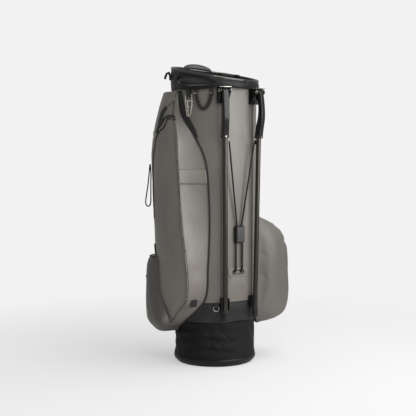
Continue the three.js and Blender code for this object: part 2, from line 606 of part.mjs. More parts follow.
// Large pocket on one side, with the pouch low on its back edge and its zipper pull
function addApparelSide() {
  const height = COLLAR_Z - 6 - APPAREL_BOTTOM;
  const rows = [
    [0, [-90, -12], [-92, 34], [-97, 37], [-104, 38], [-117, 38], [-128, -12]],
    [0.07, [-62, -12], [-77, 40], [-88, 45], [-103, 46], [-119, 47], [-134, -12]],
    [0.13, [-48, -12], [-63, 55], [-83, 52], [-103, 52], [-120, 52], [-138, -12]],
    [0.26, [-45, -12], [-62.5, 56], [-85, 53], [-104, 55], [-120, 55], [-140, -12]],
    [0.41, [-43, -12], [-68, 51], [-88, 53], [-105, 58], [-120, 57], [-140, -12]],
    [0.56, [-44, -12], [-72, 48], [-90, 54], [-106, 60], [-119, 62], [-140, -12]],
    [0.71, [-49, -12], [-75, 46], [-91, 53], [-106, 60], [-119, 65], [-140, -12]],
    [0.82, [-66, -12], [-79, 39], [-93, 48], [-107, 55], [-121, 59], [-140, -12]],
    [0.91, [-88, -12], [-89, 26], [-97, 35], [-110, 44], [-122, 47], [-140, -12]],
    [1, [-93, -12], [-94, 11], [-102, 16], [-112, 24], [-124, 29], [-140, -12]],
  ];
  const turned = rows.map(([share, ...pairs]) => [share, ...pairs.reverse()]);
  const apparel = pocket(APPAREL_BOTTOM, height, turned, APPAREL_DEPTH);
  const pouchRows = [
    [0, [-128, -12], [-128, 40], [-118, 52], [-106, 52], [-98, 40], [-96, -12]],
    [0.12, [-132, -12], [-133, 56], [-122, 76], [-108, 72], [-92, 60], [-88, -12]],
    [0.3, [-134, -12], [-134, 60], [-122, 81], [-110, 77], [-95, 60], [-92, -12]],
    [0.6, [-136, -12], [-135, 56], [-123, 80], [-112, 78], [-102, 62], [-98, -12]],
    [0.88, [-136, -12], [-134, 50], [-124, 76], [-114, 76], [-106, 60], [-104, -12]],
    [1, [-134, -12], [-132, 42], [-124, 66], [-115, 68], [-108, 58], [-106, -12]],
  ];
  const pouch = pocket(POUCH_BOTTOM, POUCH_HEIGHT, pouchRows, APPAREL_DEPTH);
  piece('lower_pouch', pouch, LEATHER_DARK);
  const grown = solid(pouch);
  const room = [[GAP, GAP], [-GAP, GAP], [GAP, -GAP], [-GAP, -GAP]].reduce(
    (sum, [dx, dy]) => sum.add(grown.translate([dx, dy, GAP])).add(grown.translate([dx, dy, -GAP])),
    grown,
  );
  piece('apparel_pocket', geometryOf(solid(apparel).subtract(room)), LEATHER);

  // Webbing tab hanging from the seam low on the gusset
  const [tabX, tabY, tabZ] = around(-57, 29, APPAREL_BOTTOM + 82);
  piece('pocket_tab', block(tabX - 11, tabX + 11, tabY - 3, tabY, tabZ - 36, tabZ), WEBBING);

  // Towel loop: a teardrop of webbing that swings from the face of the pocket
  const loopSpot = station(-121, 66 * APPAREL_DEPTH + 4, APPAREL_BOTTOM + 0.69 * height);
  const teardrop = (inset) => {
    const outline = new THREE.Shape();
    outline.moveTo(-3.5 + inset, 2 - inset);
    outline.quadraticCurveTo(-9 + inset, -60, -15 + inset, -100);
    outline.quadraticCurveTo(-16 + inset, -126 + inset, -6, -127 + inset);
    outline.quadraticCurveTo(4 - inset, -126 + inset, 4 - inset, -100);
    outline.quadraticCurveTo(4.4 - inset, -60, 4.5 - inset, 2 - inset);
    outline.closePath();
    return outline;
  };
  const hole = teardrop(3.2);
  piece('towel_loop', prismX(withHole(teardrop(0), hole), -2.5, 2.5, 5), WEBBING, loopSpot);

  pull('apparel_pull', station(-113, 61 * APPAREL_DEPTH, APPAREL_BOTTOM + 0.832 * height));
}

// A zipper pull hanging from its slider
function pull(name, spot) {
  const tag = withHole(slotShape(24, 8, 0, 0), slotShape(12, 3.4, 4, 0));
  const plate = new THREE.ExtrudeGeometry(tag, { depth: 1.6, bevelEnabled: false, curveSegments: 4 });
  plate.rotateZ(Math.PI / 2).rotateX(Math.PI / 2).translate(0, 0, -12);
  piece(name, plate, NICKEL, spot);
}

function addBallSide() {
  const share = (z) => z / BALL_ROWS;
  const row = (z, reach, spread = 1) => [
    share(z),
    [42 + 20 * (1 - spread), -14],
    [52 + 12 * (1 - spread), 55 * reach],
    [64, 98 * reach],
    [76, 112 * reach],
    [90, BALL_DEPTH * reach],
    [103, 103 * reach],
    [117 - 6 * (1 - spread), 78 * reach],
    [132 - 20 * (1 - spread), -14],
  ];
  const rows = [
    row(0, 0.25, 0.4), row(12, 0.62, 0.8), row(31, 0.88), row(78, 1), row(143, 0.99), row(224, 0.95),
    row(267, 0.82, 0.95), row(303, 0.5, 0.8), row(327, 0.12, 0.4),
  ];
  piece('ball_pocket', pocket(BALL_BOTTOM, BALL_HEIGHT, rows), LEATHER);
  pull('ball_pull', station(115, BALL_DEPTH - 20.5, BALL_BOTTOM + 0.6 * BALL_HEIGHT));
}

// Back: the padded rest for the hips, two shoulder straps and the strap hook at the rim
function addBack() {
  const restRow = (share, proud) => [
    share, [157, -12], [160, 14 * proud], [171, 22 * proud], [180, 24 * proud], [189, 22 * proud],
    [200, 14 * proud], [203, -12],
  ];
  const rest = [restRow(0, 0.3), restRow(0.1, 0.85), restRow(0.5, 1), restRow(0.9, 0.85), restRow(1, 0.3)];
  piece('hip_pad', pocket(TUBE_Z + 40, 200, rest), LEATHER_DARK);

  const strapPath = [[-8, -8], [-30, -45], [-42, -110], [-40, -190], [-26, -262], [-9, -305]];
  [['left', -161], ['right', 161]].forEach(([side, degrees]) => {
    const spot = station(degrees, 0, COLLAR_Z);
    piece(`shoulder_strap_${side}`, bentStrap(strapPath, 9, 48, 12), LEATHER_DARK, spot);
  });

  const hookSpot = station(-121, COLLAR_OVERHANG + GAP, COLLAR_Z);
  const hook = shape([[0, 52], [0, 30], [-4, 30], [-7, 40], [-16, 32], [-20, 36], [-12, 54], [-8, 58]]);
  piece('strap_hook', prismX(hook, -7, 7), WEBBING, hookSpot);
}

addBase();
addLowerFrame();
addTube();
addCollar();
addDivider();
const legs = { left: addLeg('left', -1), right: addLeg('right', 1) };
addActuator(legs);
addHardware();
addApparelSide();
addBallSide();
addBack();

export default bag;
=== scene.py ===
"""Looks of a golf stand bag with folded legs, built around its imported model, in metres."""
import math

import bmesh
import bpy
import numpy as np
from mathutils import Matrix, Vector, noise
from mathutils.bvhtree import BVHTree


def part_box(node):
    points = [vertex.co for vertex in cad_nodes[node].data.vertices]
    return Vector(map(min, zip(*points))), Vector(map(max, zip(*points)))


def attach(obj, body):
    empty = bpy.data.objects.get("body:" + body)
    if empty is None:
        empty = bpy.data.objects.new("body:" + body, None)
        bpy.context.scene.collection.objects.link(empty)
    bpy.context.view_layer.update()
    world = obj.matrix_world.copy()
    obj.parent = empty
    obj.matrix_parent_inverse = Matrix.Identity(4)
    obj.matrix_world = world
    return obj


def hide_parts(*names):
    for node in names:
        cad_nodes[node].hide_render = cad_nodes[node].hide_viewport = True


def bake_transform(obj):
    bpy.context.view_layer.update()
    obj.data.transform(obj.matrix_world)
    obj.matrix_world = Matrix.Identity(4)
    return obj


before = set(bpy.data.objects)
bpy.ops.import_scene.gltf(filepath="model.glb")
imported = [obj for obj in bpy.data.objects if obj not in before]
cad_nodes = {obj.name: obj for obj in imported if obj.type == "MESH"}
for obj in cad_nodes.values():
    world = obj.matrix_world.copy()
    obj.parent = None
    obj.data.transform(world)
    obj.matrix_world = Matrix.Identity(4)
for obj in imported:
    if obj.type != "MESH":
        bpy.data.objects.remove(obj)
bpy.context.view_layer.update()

# ---------------------------------------------------------------- studio
# The bag stands alone on a pale floor that melts into the backdrop. One large
# soft box stands in front, small ones catch the rim and the top, and an even light fills.
scene = bpy.context.scene
scene.view_settings.view_transform = "Standard"
CAMERA_PLACE = (-1.5988, -2.2005, 0.61)
CAMERA_DOWN, CAMERA_TURN = 3.17, -35.574  # degrees
camera_data = bpy.data.cameras.new("camera")
camera_data.lens = 78.06
camera = bpy.data.objects.new("camera", camera_data)
camera.location = CAMERA_PLACE
camera.rotation_euler = (math.radians(90 - CAMERA_DOWN), 0, math.radians(CAMERA_TURN))
scene.collection.objects.link(camera)
scene.camera = camera


class Link:
    """The value that a shader socket gives. Python's operators on it add Math nodes."""

    def __init__(self, tree, socket):
        self.tree, self.socket = tree, socket

    def node(self, kind, inputs, out=0, **settings):
        """Adds a node: its settings first, then the values or links of its sockets."""
        made = self.tree.nodes.new("ShaderNode" + kind)
        for key, value in settings.items():
            setattr(made, key, value)
        for key, value in inputs.items():
            if isinstance(value, Link):
                self.tree.links.new(value.socket, made.inputs[key])
            else:
                made.inputs[key].default_value = value
        return Link(self.tree, made.outputs[out])

    def into(self, socket):
        self.tree.links.new(self.socket, socket)

    def maths(self, operation, *terms):
        return self.node("Math", dict(enumerate(terms)), operation=operation)

    def __add__(self, other):
        return self.maths("ADD", self, other)

    def __mul__(self, other):
        return self.maths("MULTIPLY", self, other)

    def wave(self):
        return self.maths("SINE", self)

    def axis(self, name):
        return self.node("SeparateXYZ", {0: self}, out=name)

    def fit(self, low, high, start=0.0, end=1.0):
        """Stretches low to high over start to end, and holds it there beyond them."""
        sockets = {"Value": self, "From Min": low, "From Max": high, "To Min": start, "To Max": end}
        return self.node("MapRange", sockets, interpolation_type="SMOOTHSTEP")

    def cloud(self, scale, detail=3.0):
        return self.node("TexNoise", {"Vector": self, "Scale": scale, "Detail": detail})

    def cells(self, scale, **settings):
        return self.node("TexVoronoi", {"Vector": self, "Scale": scale}, **settings)

    def scaled(self, x, y, z):
        return self.node("Mapping", {"Vector": self, "Scale": (x, y, z)})

    def tint(self, low, high):
        return self.node("Mix", {0: self, 6: low, 7: high}, out=2, data_type="RGBA")

    def relief(self, depth, strength=1.0, under=None):
        inputs = {"Height": self, "Distance": depth, "Strength": strength}
        if under is not None:
            inputs["Normal"] = under
        return self.node("Bump", inputs)


def shade(text):
    """A colour written as hexadecimal sRGB, as the shader's linear numbers."""
    parts = [int(text[i:i + 2], 16) / 255 for i in (0, 2, 4)]
    return (*(c / 12.92 if c <= 0.04045 else ((c + 0.055) / 1.055) ** 2.4 for c in parts), 1.0)


def surface(name, source="Object", **values):
    """A material with its plain numbers set: the material, its shader and its coordinates."""
    material = bpy.data.materials.new(name)
    material.use_nodes = True
    tree = material.node_tree
    shader = tree.nodes["Principled BSDF"]
    for key, value in values.items():
        shader.inputs[key.replace("_", " ")].default_value = value
    if source == "Object":
        return material, shader, Link(tree, tree.nodes.new("ShaderNodeTexCoord").outputs["Object"])
    lay = tree.nodes.new("ShaderNodeAttribute")
    lay.attribute_name = source
    return material, shader, Link(tree, lay.outputs["Vector"])


BACKDROP = shade("f2f2f2")
FILL = 0.44  # how strongly the backdrop lights the bag
world = bpy.data.worlds.new("studio")
scene.world = world
world.use_nodes = True
background = world.node_tree.nodes["Background"]
background.inputs["Color"].default_value = BACKDROP
seen = Link(world.node_tree, world.node_tree.nodes.new("ShaderNodeLightPath").outputs["Is Camera Ray"])
(seen * (1 - FILL) + FILL).into(background.inputs["Strength"])

FLOOR_FADE = (0.35, 1.5)  # the distances from the bag between which the floor melts away
FLOOR_CLEAR = 0.42  # how much of the backdrop shows through the floor near the bag
floor_paint, floor_shader, floor_place = surface(
    "floor", Roughness=0.9, Base_Color=(0.74, 0.74, 0.74, 1), Specular_IOR_Level=0.1,
    Emission_Color=(1, 1, 1, 1), Emission_Strength=0.12)
away = floor_place.node("VectorMath", {0: floor_place}, out="Value", operation="LENGTH")
away = away.fit(*FLOOR_FADE, FLOOR_CLEAR, 1.0)
clear = floor_place.node("BsdfTransparent", {})
mixed = floor_place.node("MixShader", {0: away, 1: Link(clear.tree, floor_shader.outputs[0]), 2: clear})
mixed.into(floor_paint.node_tree.nodes["Material Output"].inputs["Surface"])
floor_mesh = bmesh.new()
bmesh.ops.create_circle(floor_mesh, cap_ends=True, segments=64, radius=2.5)
floor_data = bpy.data.meshes.new("floor")
floor_mesh.to_mesh(floor_data)
floor_data.materials.append(floor_paint)
floor = bpy.data.objects.new("floor", floor_data)
scene.collection.objects.link(floor)


def soft_box(name, place, target, width, height, power):
    data = bpy.data.lights.new(name, "AREA")
    data.shape = "RECTANGLE"
    data.size, data.size_y, data.energy = width, height, power
    lamp = bpy.data.objects.new(name, data)
    lamp.location = place
    lamp.rotation_euler = (Vector(target) - Vector(place)).to_track_quat("-Z", "Y").to_euler()
    scene.collection.objects.link(lamp)


soft_box("key", (0.60, -2.40, 1.15), (0, 0, 0.52), 2.5, 1.7, 56)
soft_box("rim", (-1.0, -1.7, 2.5), (0, 0, 0.8), 0.5, 0.3, 7)
soft_box("top", (0.7, -0.5, 2.5), (0, 0, 0), 1.4, 1.4, 26)

# ------------------------------------------------------- base and its boot
# The foot of the bag is a dished nylon moulding on a rubber sole, hinged at
# the front edge. A sleeve of black woven nylon joins it to the frame above.
TUBE_R = 0.1245
FLAT_Y = -0.114


def around(degrees, standoff, z):
    """A point round the tube, from the front and positive towards the ball pocket."""
    turn = math.radians(degrees)
    return Vector(((TUBE_R + standoff) * math.sin(turn), -(TUBE_R + standoff) * math.cos(turn), z))


def finished(name, bm, body, paint, replaces=(), crease=35):
    """Turns a bmesh into a piece that rides on a body, smooth but for its real edges."""
    bmesh.ops.recalc_face_normals(bm, faces=bm.faces)
    data = bpy.data.meshes.new(name)
    bm.to_mesh(data)
    bm.free()
    for material in paint if isinstance(paint, tuple) else (paint,):
        data.materials.append(material)
    data.shade_smooth()
    data.set_sharp_from_angle(angle=math.radians(crease))
    piece = bpy.data.objects.new(name, data)
    scene.collection.objects.link(piece)
    if body:
        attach(piece, body)
    if replaces:
        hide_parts(*replaces)
    return piece


def spun(profile, steps=128):
    """A round piece from its profile of radius and height, closed on the axis or on itself."""
    bm = bmesh.new()
    verts = [bm.verts.new((r, 0, z)) for r, z in profile]
    pairs = list(zip(verts, verts[1:]))
    if profile[0][0] > 0:
        pairs.append((verts[-1], verts[0]))
    edges = [bm.edges.new(pair) for pair in pairs]
    bmesh.ops.spin(bm, geom=verts + edges, cent=(0, 0, 0), axis=(0, 0, 1), angle=2 * math.pi,
                   steps=steps, use_merge=True)
    bmesh.ops.remove_doubles(bm, verts=bm.verts, dist=1e-6)
    return bm


def moulding(name, tone, rough, grain=2600.0, coat=0.04):
    """Moulded nylon: a fine spark-eroded grain, softly uneven gloss and faint scuffs."""
    paint, shader, place = surface(name, Coat_Weight=coat, Coat_Roughness=0.16, Specular_IOR_Level=0.28)
    speck = place.cloud(grain, 2.0)
    scuff = place.scaled(1, 1, 0.3).cloud(38.0, 6.0).fit(0.58, 0.72)
    low, high = shade(tone), tuple(min(1.0, c * 1.5 + 0.006) for c in shade(tone)[:3]) + (1.0,)
    (scuff * 0.45 + speck * 0.12).tint(low, high).into(shader.inputs["Base Color"])
    (place.cloud(14.0) * 0.12 + scuff * 0.14 + (rough - 0.06)).into(shader.inputs["Roughness"])
    speck.relief(0.00012, 0.5).into(shader.inputs["Normal"])
    return paint


def rubbery(name, tone):
    paint, shader, place = surface(name)
    dust = place.cloud(60.0, 6.0).fit(0.5, 0.75)
    dust.tint(shade(tone), shade("3a3836")).into(shader.inputs["Base Color"])
    (dust * 0.12 + 0.78).into(shader.inputs["Roughness"])
    place.cloud(1500.0).relief(0.0002, 0.6).into(shader.inputs["Normal"])
    return paint


black_nylon = moulding("black_nylon", "0e0d0e", 0.44)
frame_nylon = moulding("frame_nylon", "252424", 0.54, 1800.0)
black_rubber = rubbery("black_rubber", "141414")


def painted(material, *nodes):
    """Gives a material to CAD nodes that are shown as they are."""
    for node in nodes:
        cad_nodes[node].material_slots[0].material = material


painted(black_rubber, "base_sole")

FOOT_PROFILE = (
    (0, 0.0033), (0.1125, 0.0033), (0.1168, 0.0048), (0.1196, 0.0072), (0.1214, 0.0105), (0.1226, 0.0120),
    (0.1230, 0.0145), (0.1230, 0.0195), (0.1222, 0.0214), (0.1206, 0.0220), (0.1180, 0.0220),
    (0.1176, 0.0212),
    (0.1176, 0.0078), (0.1160, 0.0073), (0, 0.0073),
)
foot = spun(FOOT_PROFILE)
for side in (-1, 1):
    lug = bmesh.ops.create_cube(foot, size=1)["verts"]
    bmesh.ops.scale(foot, vec=(0.007, 0.012, 0.0277), verts=lug)
    bmesh.ops.translate(foot, vec=(side * 0.0365, -0.106, 0.0181), verts=lug)
finished("base_cup", foot, "base", black_nylon, ["base_foot"])

BOOT_LOW, BOOT_HIGH, BOOT_R = 0.0223, 0.1303, 0.1196
boot_cloth, boot_shader, lay = surface("boot_cloth", source="lay", Roughness=0.66, Specular_IOR_Level=0.26)
across, along = lay.axis("X"), lay.axis("Z")
warp, weft = (across * 5200).wave(), (along * 5200).wave()
weave = warp * weft
fuzz = lay.cloud(90.0, 5.0)
(weave.fit(-1, 1) * 0.5 + fuzz * 0.5).tint(shade("080707"),
                                           shade("131111")).into(boot_shader.inputs["Base Color"])
weave.relief(0.00018, 0.7).into(boot_shader.inputs["Normal"])


def with_lay(bm):
    """Gives each point its place on the cloth: across it, and along or up it."""
    return bm.verts.layers.float_vector.get("lay") or bm.verts.layers.float_vector.new("lay")


def boot_fold(turn, rise):
    """How far the slack cloth stands in or out, at a turn round it and a share of its height."""
    window = math.sin(math.pi * min(1.0, max(0.0, rise))) ** 0.6
    girth = turn * BOOT_R
    slant = girth * 0.86 + rise * 0.055
    soft = noise.noise(Vector((math.cos(turn) * 2.1, math.sin(turn) * 2.1, rise * 1.3))) * 0.0026
    crease = abs(noise.noise(Vector((slant * 30, rise * 1.6 + 7, 1.7))))
    drape = 0.0022 - 0.0125 * max(0.0, 0.2 - crease)
    side = max(0.0, math.cos(turn - math.radians(205))) ** 2
    bellows = math.sin(rise * math.pi * 7 + 1.2 * math.sin(turn * 3)) * 0.0032 * side
    return window * (soft + drape + bellows - 0.0012)


BOOT_STEPS = 44
CLOSING_AREA = 0.0003  # square metres; only the wall that closes the spun profile has faces so large
boot = spun([(BOOT_R, BOOT_LOW + (BOOT_HIGH - BOOT_LOW) * i / BOOT_STEPS) for i in range(BOOT_STEPS + 1)],
            256)
closing = [f for f in boot.faces if abs(f.normal.z) > 0.9 or f.calc_area() > CLOSING_AREA]
bmesh.ops.delete(boot, geom=closing, context="FACES_ONLY")
lay_layer = with_lay(boot)
for vert in boot.verts:
    turn = math.atan2(vert.co.y, vert.co.x) % (2 * math.pi)
    rise = (vert.co.z - BOOT_LOW) / (BOOT_HIGH - BOOT_LOW)
    reach = 1 + boot_fold(turn, rise) / BOOT_R
    vert[lay_layer] = (turn * BOOT_R, 0, vert.co.z)
    vert.co.x *= reach
    vert.co.y *= reach
boot_piece = finished("boot_sleeve", boot, None, boot_cloth, ["boot"], crease=80)
thick = boot_piece.modifiers.new("cloth thickness", "SOLIDIFY")
thick.thickness, thick.offset = 0.0014, -1
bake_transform(boot_piece)

# The boot's hem is a doubled edge of the same cloth, bound down over the foot.
hem = spun(((0.1203, 0.0222), (0.1212, 0.0226), (0.1214, 0.0260), (0.1212, 0.0296), (0.1203, 0.0300),
            (0.1196, 0.0262)), 160)
finished("boot_hem", hem, "base", boot_cloth)

# --------------------------------------------------------- lower frame
# A moulded ring closes the foot of the tube. Its upper band is raised, and two
# cradles on it grip the folded legs. The hinge bracket hangs inside the boot.
FRAME_LOW, FRAME_HIGH = 0.1306, 0.1896


def walled(levels, segments=180):
    """The tube's outline, round with a flat front, raised through levels of offset and height."""
    bm = bmesh.new()
    bmesh.ops.create_circle(bm, segments=segments, radius=1)
    turns = bm.verts.layers.float.new("turn")
    for vert in bm.verts:
        vert[turns] = math.atan2(vert.co.y, vert.co.x)
    first = edges = bm.edges[:]
    ring = bm.verts[:]
    for count, (offset, z) in enumerate(levels):
        if count:
            made = bmesh.ops.extrude_edge_only(bm, edges=edges)["geom"]
            ring = [g for g in made if isinstance(g, bmesh.types.BMVert)]
            known = set(ring)
            edges = [g for g in made if isinstance(g, bmesh.types.BMEdge) and set(g.verts) <= known]
        for vert in ring:
            turn, radius = vert[turns], TUBE_R + offset
            vert.co = (radius * math.cos(turn), max(radius * math.sin(turn), FLAT_Y - offset), z)
    bmesh.ops.bridge_loops(bm, edges=first + edges)
    return bm


bands = ((-0.006, FRAME_LOW), (-0.0015, FRAME_LOW), (-0.0008, FRAME_LOW + 0.0008), (-0.0008, 0.1650),
         (-0.0004, 0.1656), (0.0002, 0.1660), (0.0004, 0.1672), (0.0004, 0.1852), (0, 0.1864),
         (-0.0008, 0.1868),
         (-0.0008, FRAME_HIGH), (-0.006, FRAME_HIGH))
finished("frame_ring", walled(bands), "bag", frame_nylon, ["lower_frame"])
painted(black_nylon, "hinge_bracket")


def plated(bm, outline, low, high, place, round_off=0.0, segments=3):
    """A flat outline given thickness from low to high along its own Z, with rounded edges, then placed."""
    verts = [bm.verts.new((x, y, low)) for x, y in outline]
    face = bm.faces.new(verts)
    made = bmesh.ops.extrude_face_region(bm, geom=[face])["geom"]
    top = [g for g in made if isinstance(g, bmesh.types.BMVert)]
    bmesh.ops.translate(bm, vec=(0, 0, high - low), verts=top)
    every = verts + top
    if round_off:
        rims = {e for v in every for e in v.link_edges if abs(e.verts[0].co.z - e.verts[1].co.z) < 1e-9}
        every = bmesh.ops.bevel(bm, geom=list(rims), offset=round_off, offset_type="OFFSET", affect="EDGES",
                                segments=segments, profile=0.5, material=-1, clamp_overlap=True)["verts"]
        every = list({v for v in every} | {v for v in verts + top if v.is_valid})
    bmesh.ops.transform(bm, matrix=place, verts=every)
    return every


def bar(bm, low, high, place=Matrix(), round_off=0.0008, segments=2):
    """A box between two corners with its edges rounded, then placed."""
    low, high = Vector(low), Vector(high)
    verts = bmesh.ops.create_cube(bm, size=1)["verts"]
    bmesh.ops.scale(bm, vec=high - low, verts=verts)
    bmesh.ops.translate(bm, vec=(low + high) / 2, verts=verts)
    edges = list({e for v in verts for e in v.link_edges})
    made = bmesh.ops.bevel(bm, geom=edges, offset=round_off, offset_type="OFFSET", affect="EDGES",
                           segments=segments, profile=0.5, material=-1, clamp_overlap=True)["verts"]
    bmesh.ops.transform(bm, matrix=place, verts=made)


LEG_LONG, LEG_PIVOT = 0.654, (0.063, -0.136, 0.8017)
LEG_IN, LEG_BACK, LEG_TOE = 0.009, 0.008, 20  # how far the foot lies in and back of the pivot, and degrees


def leg_place(side):
    """The frame of a folded leg: its pivot, with the leg down -Z and the pin along X."""
    down = Vector((-side * LEG_IN, LEG_BACK, 0))
    down.z = -math.sqrt(LEG_LONG ** 2 - down.length_squared)
    up = -down.normalized()
    toe = math.radians(LEG_TOE)
    pin = Vector((math.cos(toe), side * math.sin(toe), 0))
    pin = (pin - up * pin.dot(up)).normalized()
    turn = Matrix((pin, up.cross(pin), up)).transposed().to_4x4()
    return Matrix.Translation((side * LEG_PIVOT[0], *LEG_PIVOT[1:])) @ turn


LEGS = (("left", -1), ("right", 1))
CRADLE_LOW, CRADLE_HIGH = -0.631, -0.597
for name, side in LEGS:
    cradle, place = bmesh.new(), leg_place(side)
    bar(cradle, (-0.0125, 0.0086, CRADLE_LOW), (0.0125, 0.0165, CRADLE_HIGH), place)
    for cheek in (-1, 1):
        ends = sorted((cheek * 0.0095, cheek * 0.0125))
        bar(cradle, (ends[0], -0.002, CRADLE_LOW), (ends[1], 0.012, CRADLE_HIGH), place, 0.0012)
    finished(f"cradle_{name}", cradle, "bag", black_nylon, [f"leg_cradle_{name}"])

# ------------------------------------------------ tube, panel and slot patch
# The body of the bag is soft coated cloth over a stiff liner, sewn up the back.
# A flat panel covers the front, with a stitched oval patch where the rods go in.


def coated_cloth(name, tones, rough=0.44):
    """Soft synthetic leather: fine pebbled grain, cloudy tone, darker and duller where it is handled."""
    paint, shader, place = surface(name, Specular_IOR_Level=0.85, Sheen_Weight=0.03, Sheen_Roughness=0.45)
    pebble = place.cells(1150.0, feature="SMOOTH_F1")
    pore = place.cells(2600.0, feature="F1")
    cloud = place.cloud(5.5, 4.0).fit(0.3, 0.7)
    smudge = place.scaled(1, 1, 0.45).cloud(24.0, 7.0).fit(0.46, 0.78)
    base = (cloud * 0.7 + pebble.fit(0.0, 0.6) * 0.3).tint(shade(tones[0]), shade(tones[1]))
    worn = tuple(c * 0.82 for c in shade(tones[0])[:3]) + (1.0,)
    (smudge * 0.22).tint(base, worn).into(shader.inputs["Base Color"])
    (cloud * 0.08 + smudge * 0.10 + pebble * 0.06 + (rough - 0.1)).into(shader.inputs["Roughness"])
    under = place.cloud(70.0, 3.0).relief(0.0006, 0.35)
    (pebble * 0.8 + pore * 0.2).relief(0.00022, 0.55, under).into(shader.inputs["Normal"])
    return paint


leather = coated_cloth("leather", ("65605a", "756f67"))
# The ball pocket's copy of the leather is duller, and darker than the leather: its darker tone is painted
# shade.
leather_matt_painted_shade = coated_cloth("leather_matt_painted_shade", ("544f49", "625d56"), 0.56)
leather_dark = coated_cloth("leather_dark", ("423e3a", "4e4a45"), 0.50)
lining, lining_shader, place = surface("lining", Roughness=0.95, Sheen_Weight=0.4, Sheen_Roughness=0.6)
nap = place.cloud(420.0, 5.0)
nap.tint(shade("1b1b1c"), shade("323233")).into(lining_shader.inputs["Base Color"])
nap.relief(0.0006, 0.8).into(lining_shader.inputs["Normal"])

TUBE_LOW, TUBE_HIGH = 0.1899, 0.8109
skin = walled([(-0.003, TUBE_LOW), (-0.0008, TUBE_LOW), (0, TUBE_LOW + 0.0010)]
              + [(0, TUBE_LOW + 0.001 + 0.619 * i / 12) for i in range(1, 13)]
              + [(-0.0008, TUBE_HIGH), (-0.003, TUBE_HIGH)])
for face in skin.faces:
    middle = face.calc_center_median()
    face.material_index = int(middle.xy.length < TUBE_R - 0.0024 and middle.y > FLAT_Y + 0.002)
finished("tube_skin", skin, "bag", (leather, lining), ["tube_shell"])
painted(lining, "base_liner_pad", *[node for node in cad_nodes if node.startswith("divider_sheet")])


def smooth_line(points, count, closed=False):
    """A smooth curve through the points, in a number of equal shares of each span."""
    points = [Vector(p) for p in points]
    n = len(points)
    spans = n if closed else n - 1
    line = []
    for i in range(spans):
        a, b, c, d = (points[(i + k) % n] if closed else points[min(max(i + k, 0), n - 1)]
                      for k in (-1, 0, 1, 2))
        for j in range(count):
            t = j / count
            line.append(0.5 * (2 * b + (c - a) * t + (2 * a - 5 * b + 4 * c - d) * t * t
                               + (3 * b - a - 3 * c + d) * t ** 3))
    return line if closed else line + [points[-1]]


def walk(points, pitch):
    """Points at an even pitch along a line, each with the direction of the line."""
    found, left = [], pitch / 2
    for a, b in zip(points, points[1:]):
        length = (b - a).length
        while left < length:
            found.append((a + (b - a) * (left / length), (b - a).normalized()))
            left += pitch
        left -= length
    return found


def laid(surface_tree, points, lift):
    """Lays points on a surface at a height above it: each place with the surface's normal."""
    found = []
    for point in points:
        place, normal, _, _ = surface_tree.find_nearest(point)
        found.append((place + normal * lift, normal))
    return found


def tree_of(piece):
    """The finished surface of a piece, modifiers included, to lay seams on."""
    graph = bpy.context.evaluated_depsgraph_get()
    bpy.context.view_layer.update()
    bm = bmesh.new()
    bm.from_object(piece, graph)
    bm.normal_update()
    tree = BVHTree.FromBMesh(bm)
    bm.free()
    return tree


def swept(bm, points, section, closed=False, out=None, slim=None):
    """A bar or strap along a line. section gives its outline across and out of the line, out the
    direction that it keeps facing, and slim its share of the section at each share of its length."""
    points = [Vector(p) for p in points]
    n = len(points)
    layer = with_lay(bm)
    facing = None
    length, ring_edges, first_edges, before = 0.0, None, None, None
    for i, point in enumerate(points):
        ahead = points[(i + 1) % n] if closed or i < n - 1 else point
        behind = points[i - 1] if closed or i else point
        tangent = (ahead - behind).normalized()
        wish = out(point) if callable(out) else out[i] if isinstance(out, list) else facing or out
        if wish is None:
            wish = Vector((0, 0, 1)) if abs(tangent.z) < 0.9 else Vector((1, 0, 0))
        wish = Vector(wish)
        facing = (wish - tangent * wish.dot(tangent)).normalized()
        side = facing.cross(tangent)
        share = slim(i / (n - 1)) if slim else (1, 1)
        if i:
            length += (point - points[i - 1]).length
            made = bmesh.ops.extrude_edge_only(bm, edges=ring_edges)["geom"]
            known = {g for g in made if isinstance(g, bmesh.types.BMVert)}
            ring_edges = [g for g in made if isinstance(g, bmesh.types.BMEdge) and set(g.verts) <= known]
            ring = [next(e.other_vert(v) for e in v.link_edges if e.other_vert(v) in known) for v in before]
        else:
            ring = [bm.verts.new((0, 0, 0)) for _ in section]
            ring_edges = first_edges = [bm.edges.new(p) for p in zip(ring, ring[1:] + ring[:1])]
        for vert, (a, b) in zip(ring, section):
            vert.co = point + side * (a * share[0]) + facing * (b * share[1])
            vert[layer] = (a, b, length)
        before = ring
    if closed:
        bmesh.ops.bridge_loops(bm, edges=first_edges + ring_edges)
    else:
        for edges in (first_edges, ring_edges):
            bmesh.ops.edgeloop_fill(bm, edges=edges)
    return bm


def strip(name, points, section, paint, slot, replaces=(), body="bag", crease=35, **sweep):
    """A piece that is one bar or strap along a line."""
    return finished(name, swept(bmesh.new(), points, section, **sweep), body, paint, replaces, crease)


def off_axis(point):
    """Straight out from the middle of the bag."""
    return Vector((point.x, point.y, 0))


def upward(_):
    return Vector((0, 0, 1))


def round_section(radius, sides=10):
    turns = [2 * math.pi * i / sides for i in range(sides)]
    return [(radius * math.cos(t), radius * math.sin(t)) for t in turns]


def pillow_section(half_width, half_depth, width_power, depth_power, sides):
    """A round section pushed out towards the corners of its box."""
    turns = [2 * math.pi * i / sides for i in range(sides)]
    return [(math.copysign(abs(math.cos(t)) ** width_power, math.cos(t)) * half_width,
             math.copysign(abs(math.sin(t)) ** depth_power, math.sin(t)) * half_depth) for t in turns]


def flat_section(width, thickness, corners=3):
    """A flat section with softly rounded edges."""
    r = thickness / 2
    half = width / 2 - r
    arc = [math.pi * i / (2 * corners) for i in range(2 * corners + 1)]
    right = [(half + r * math.sin(t), -r * math.cos(t)) for t in arc]
    return right + [(-x, -y) for x, y in right]


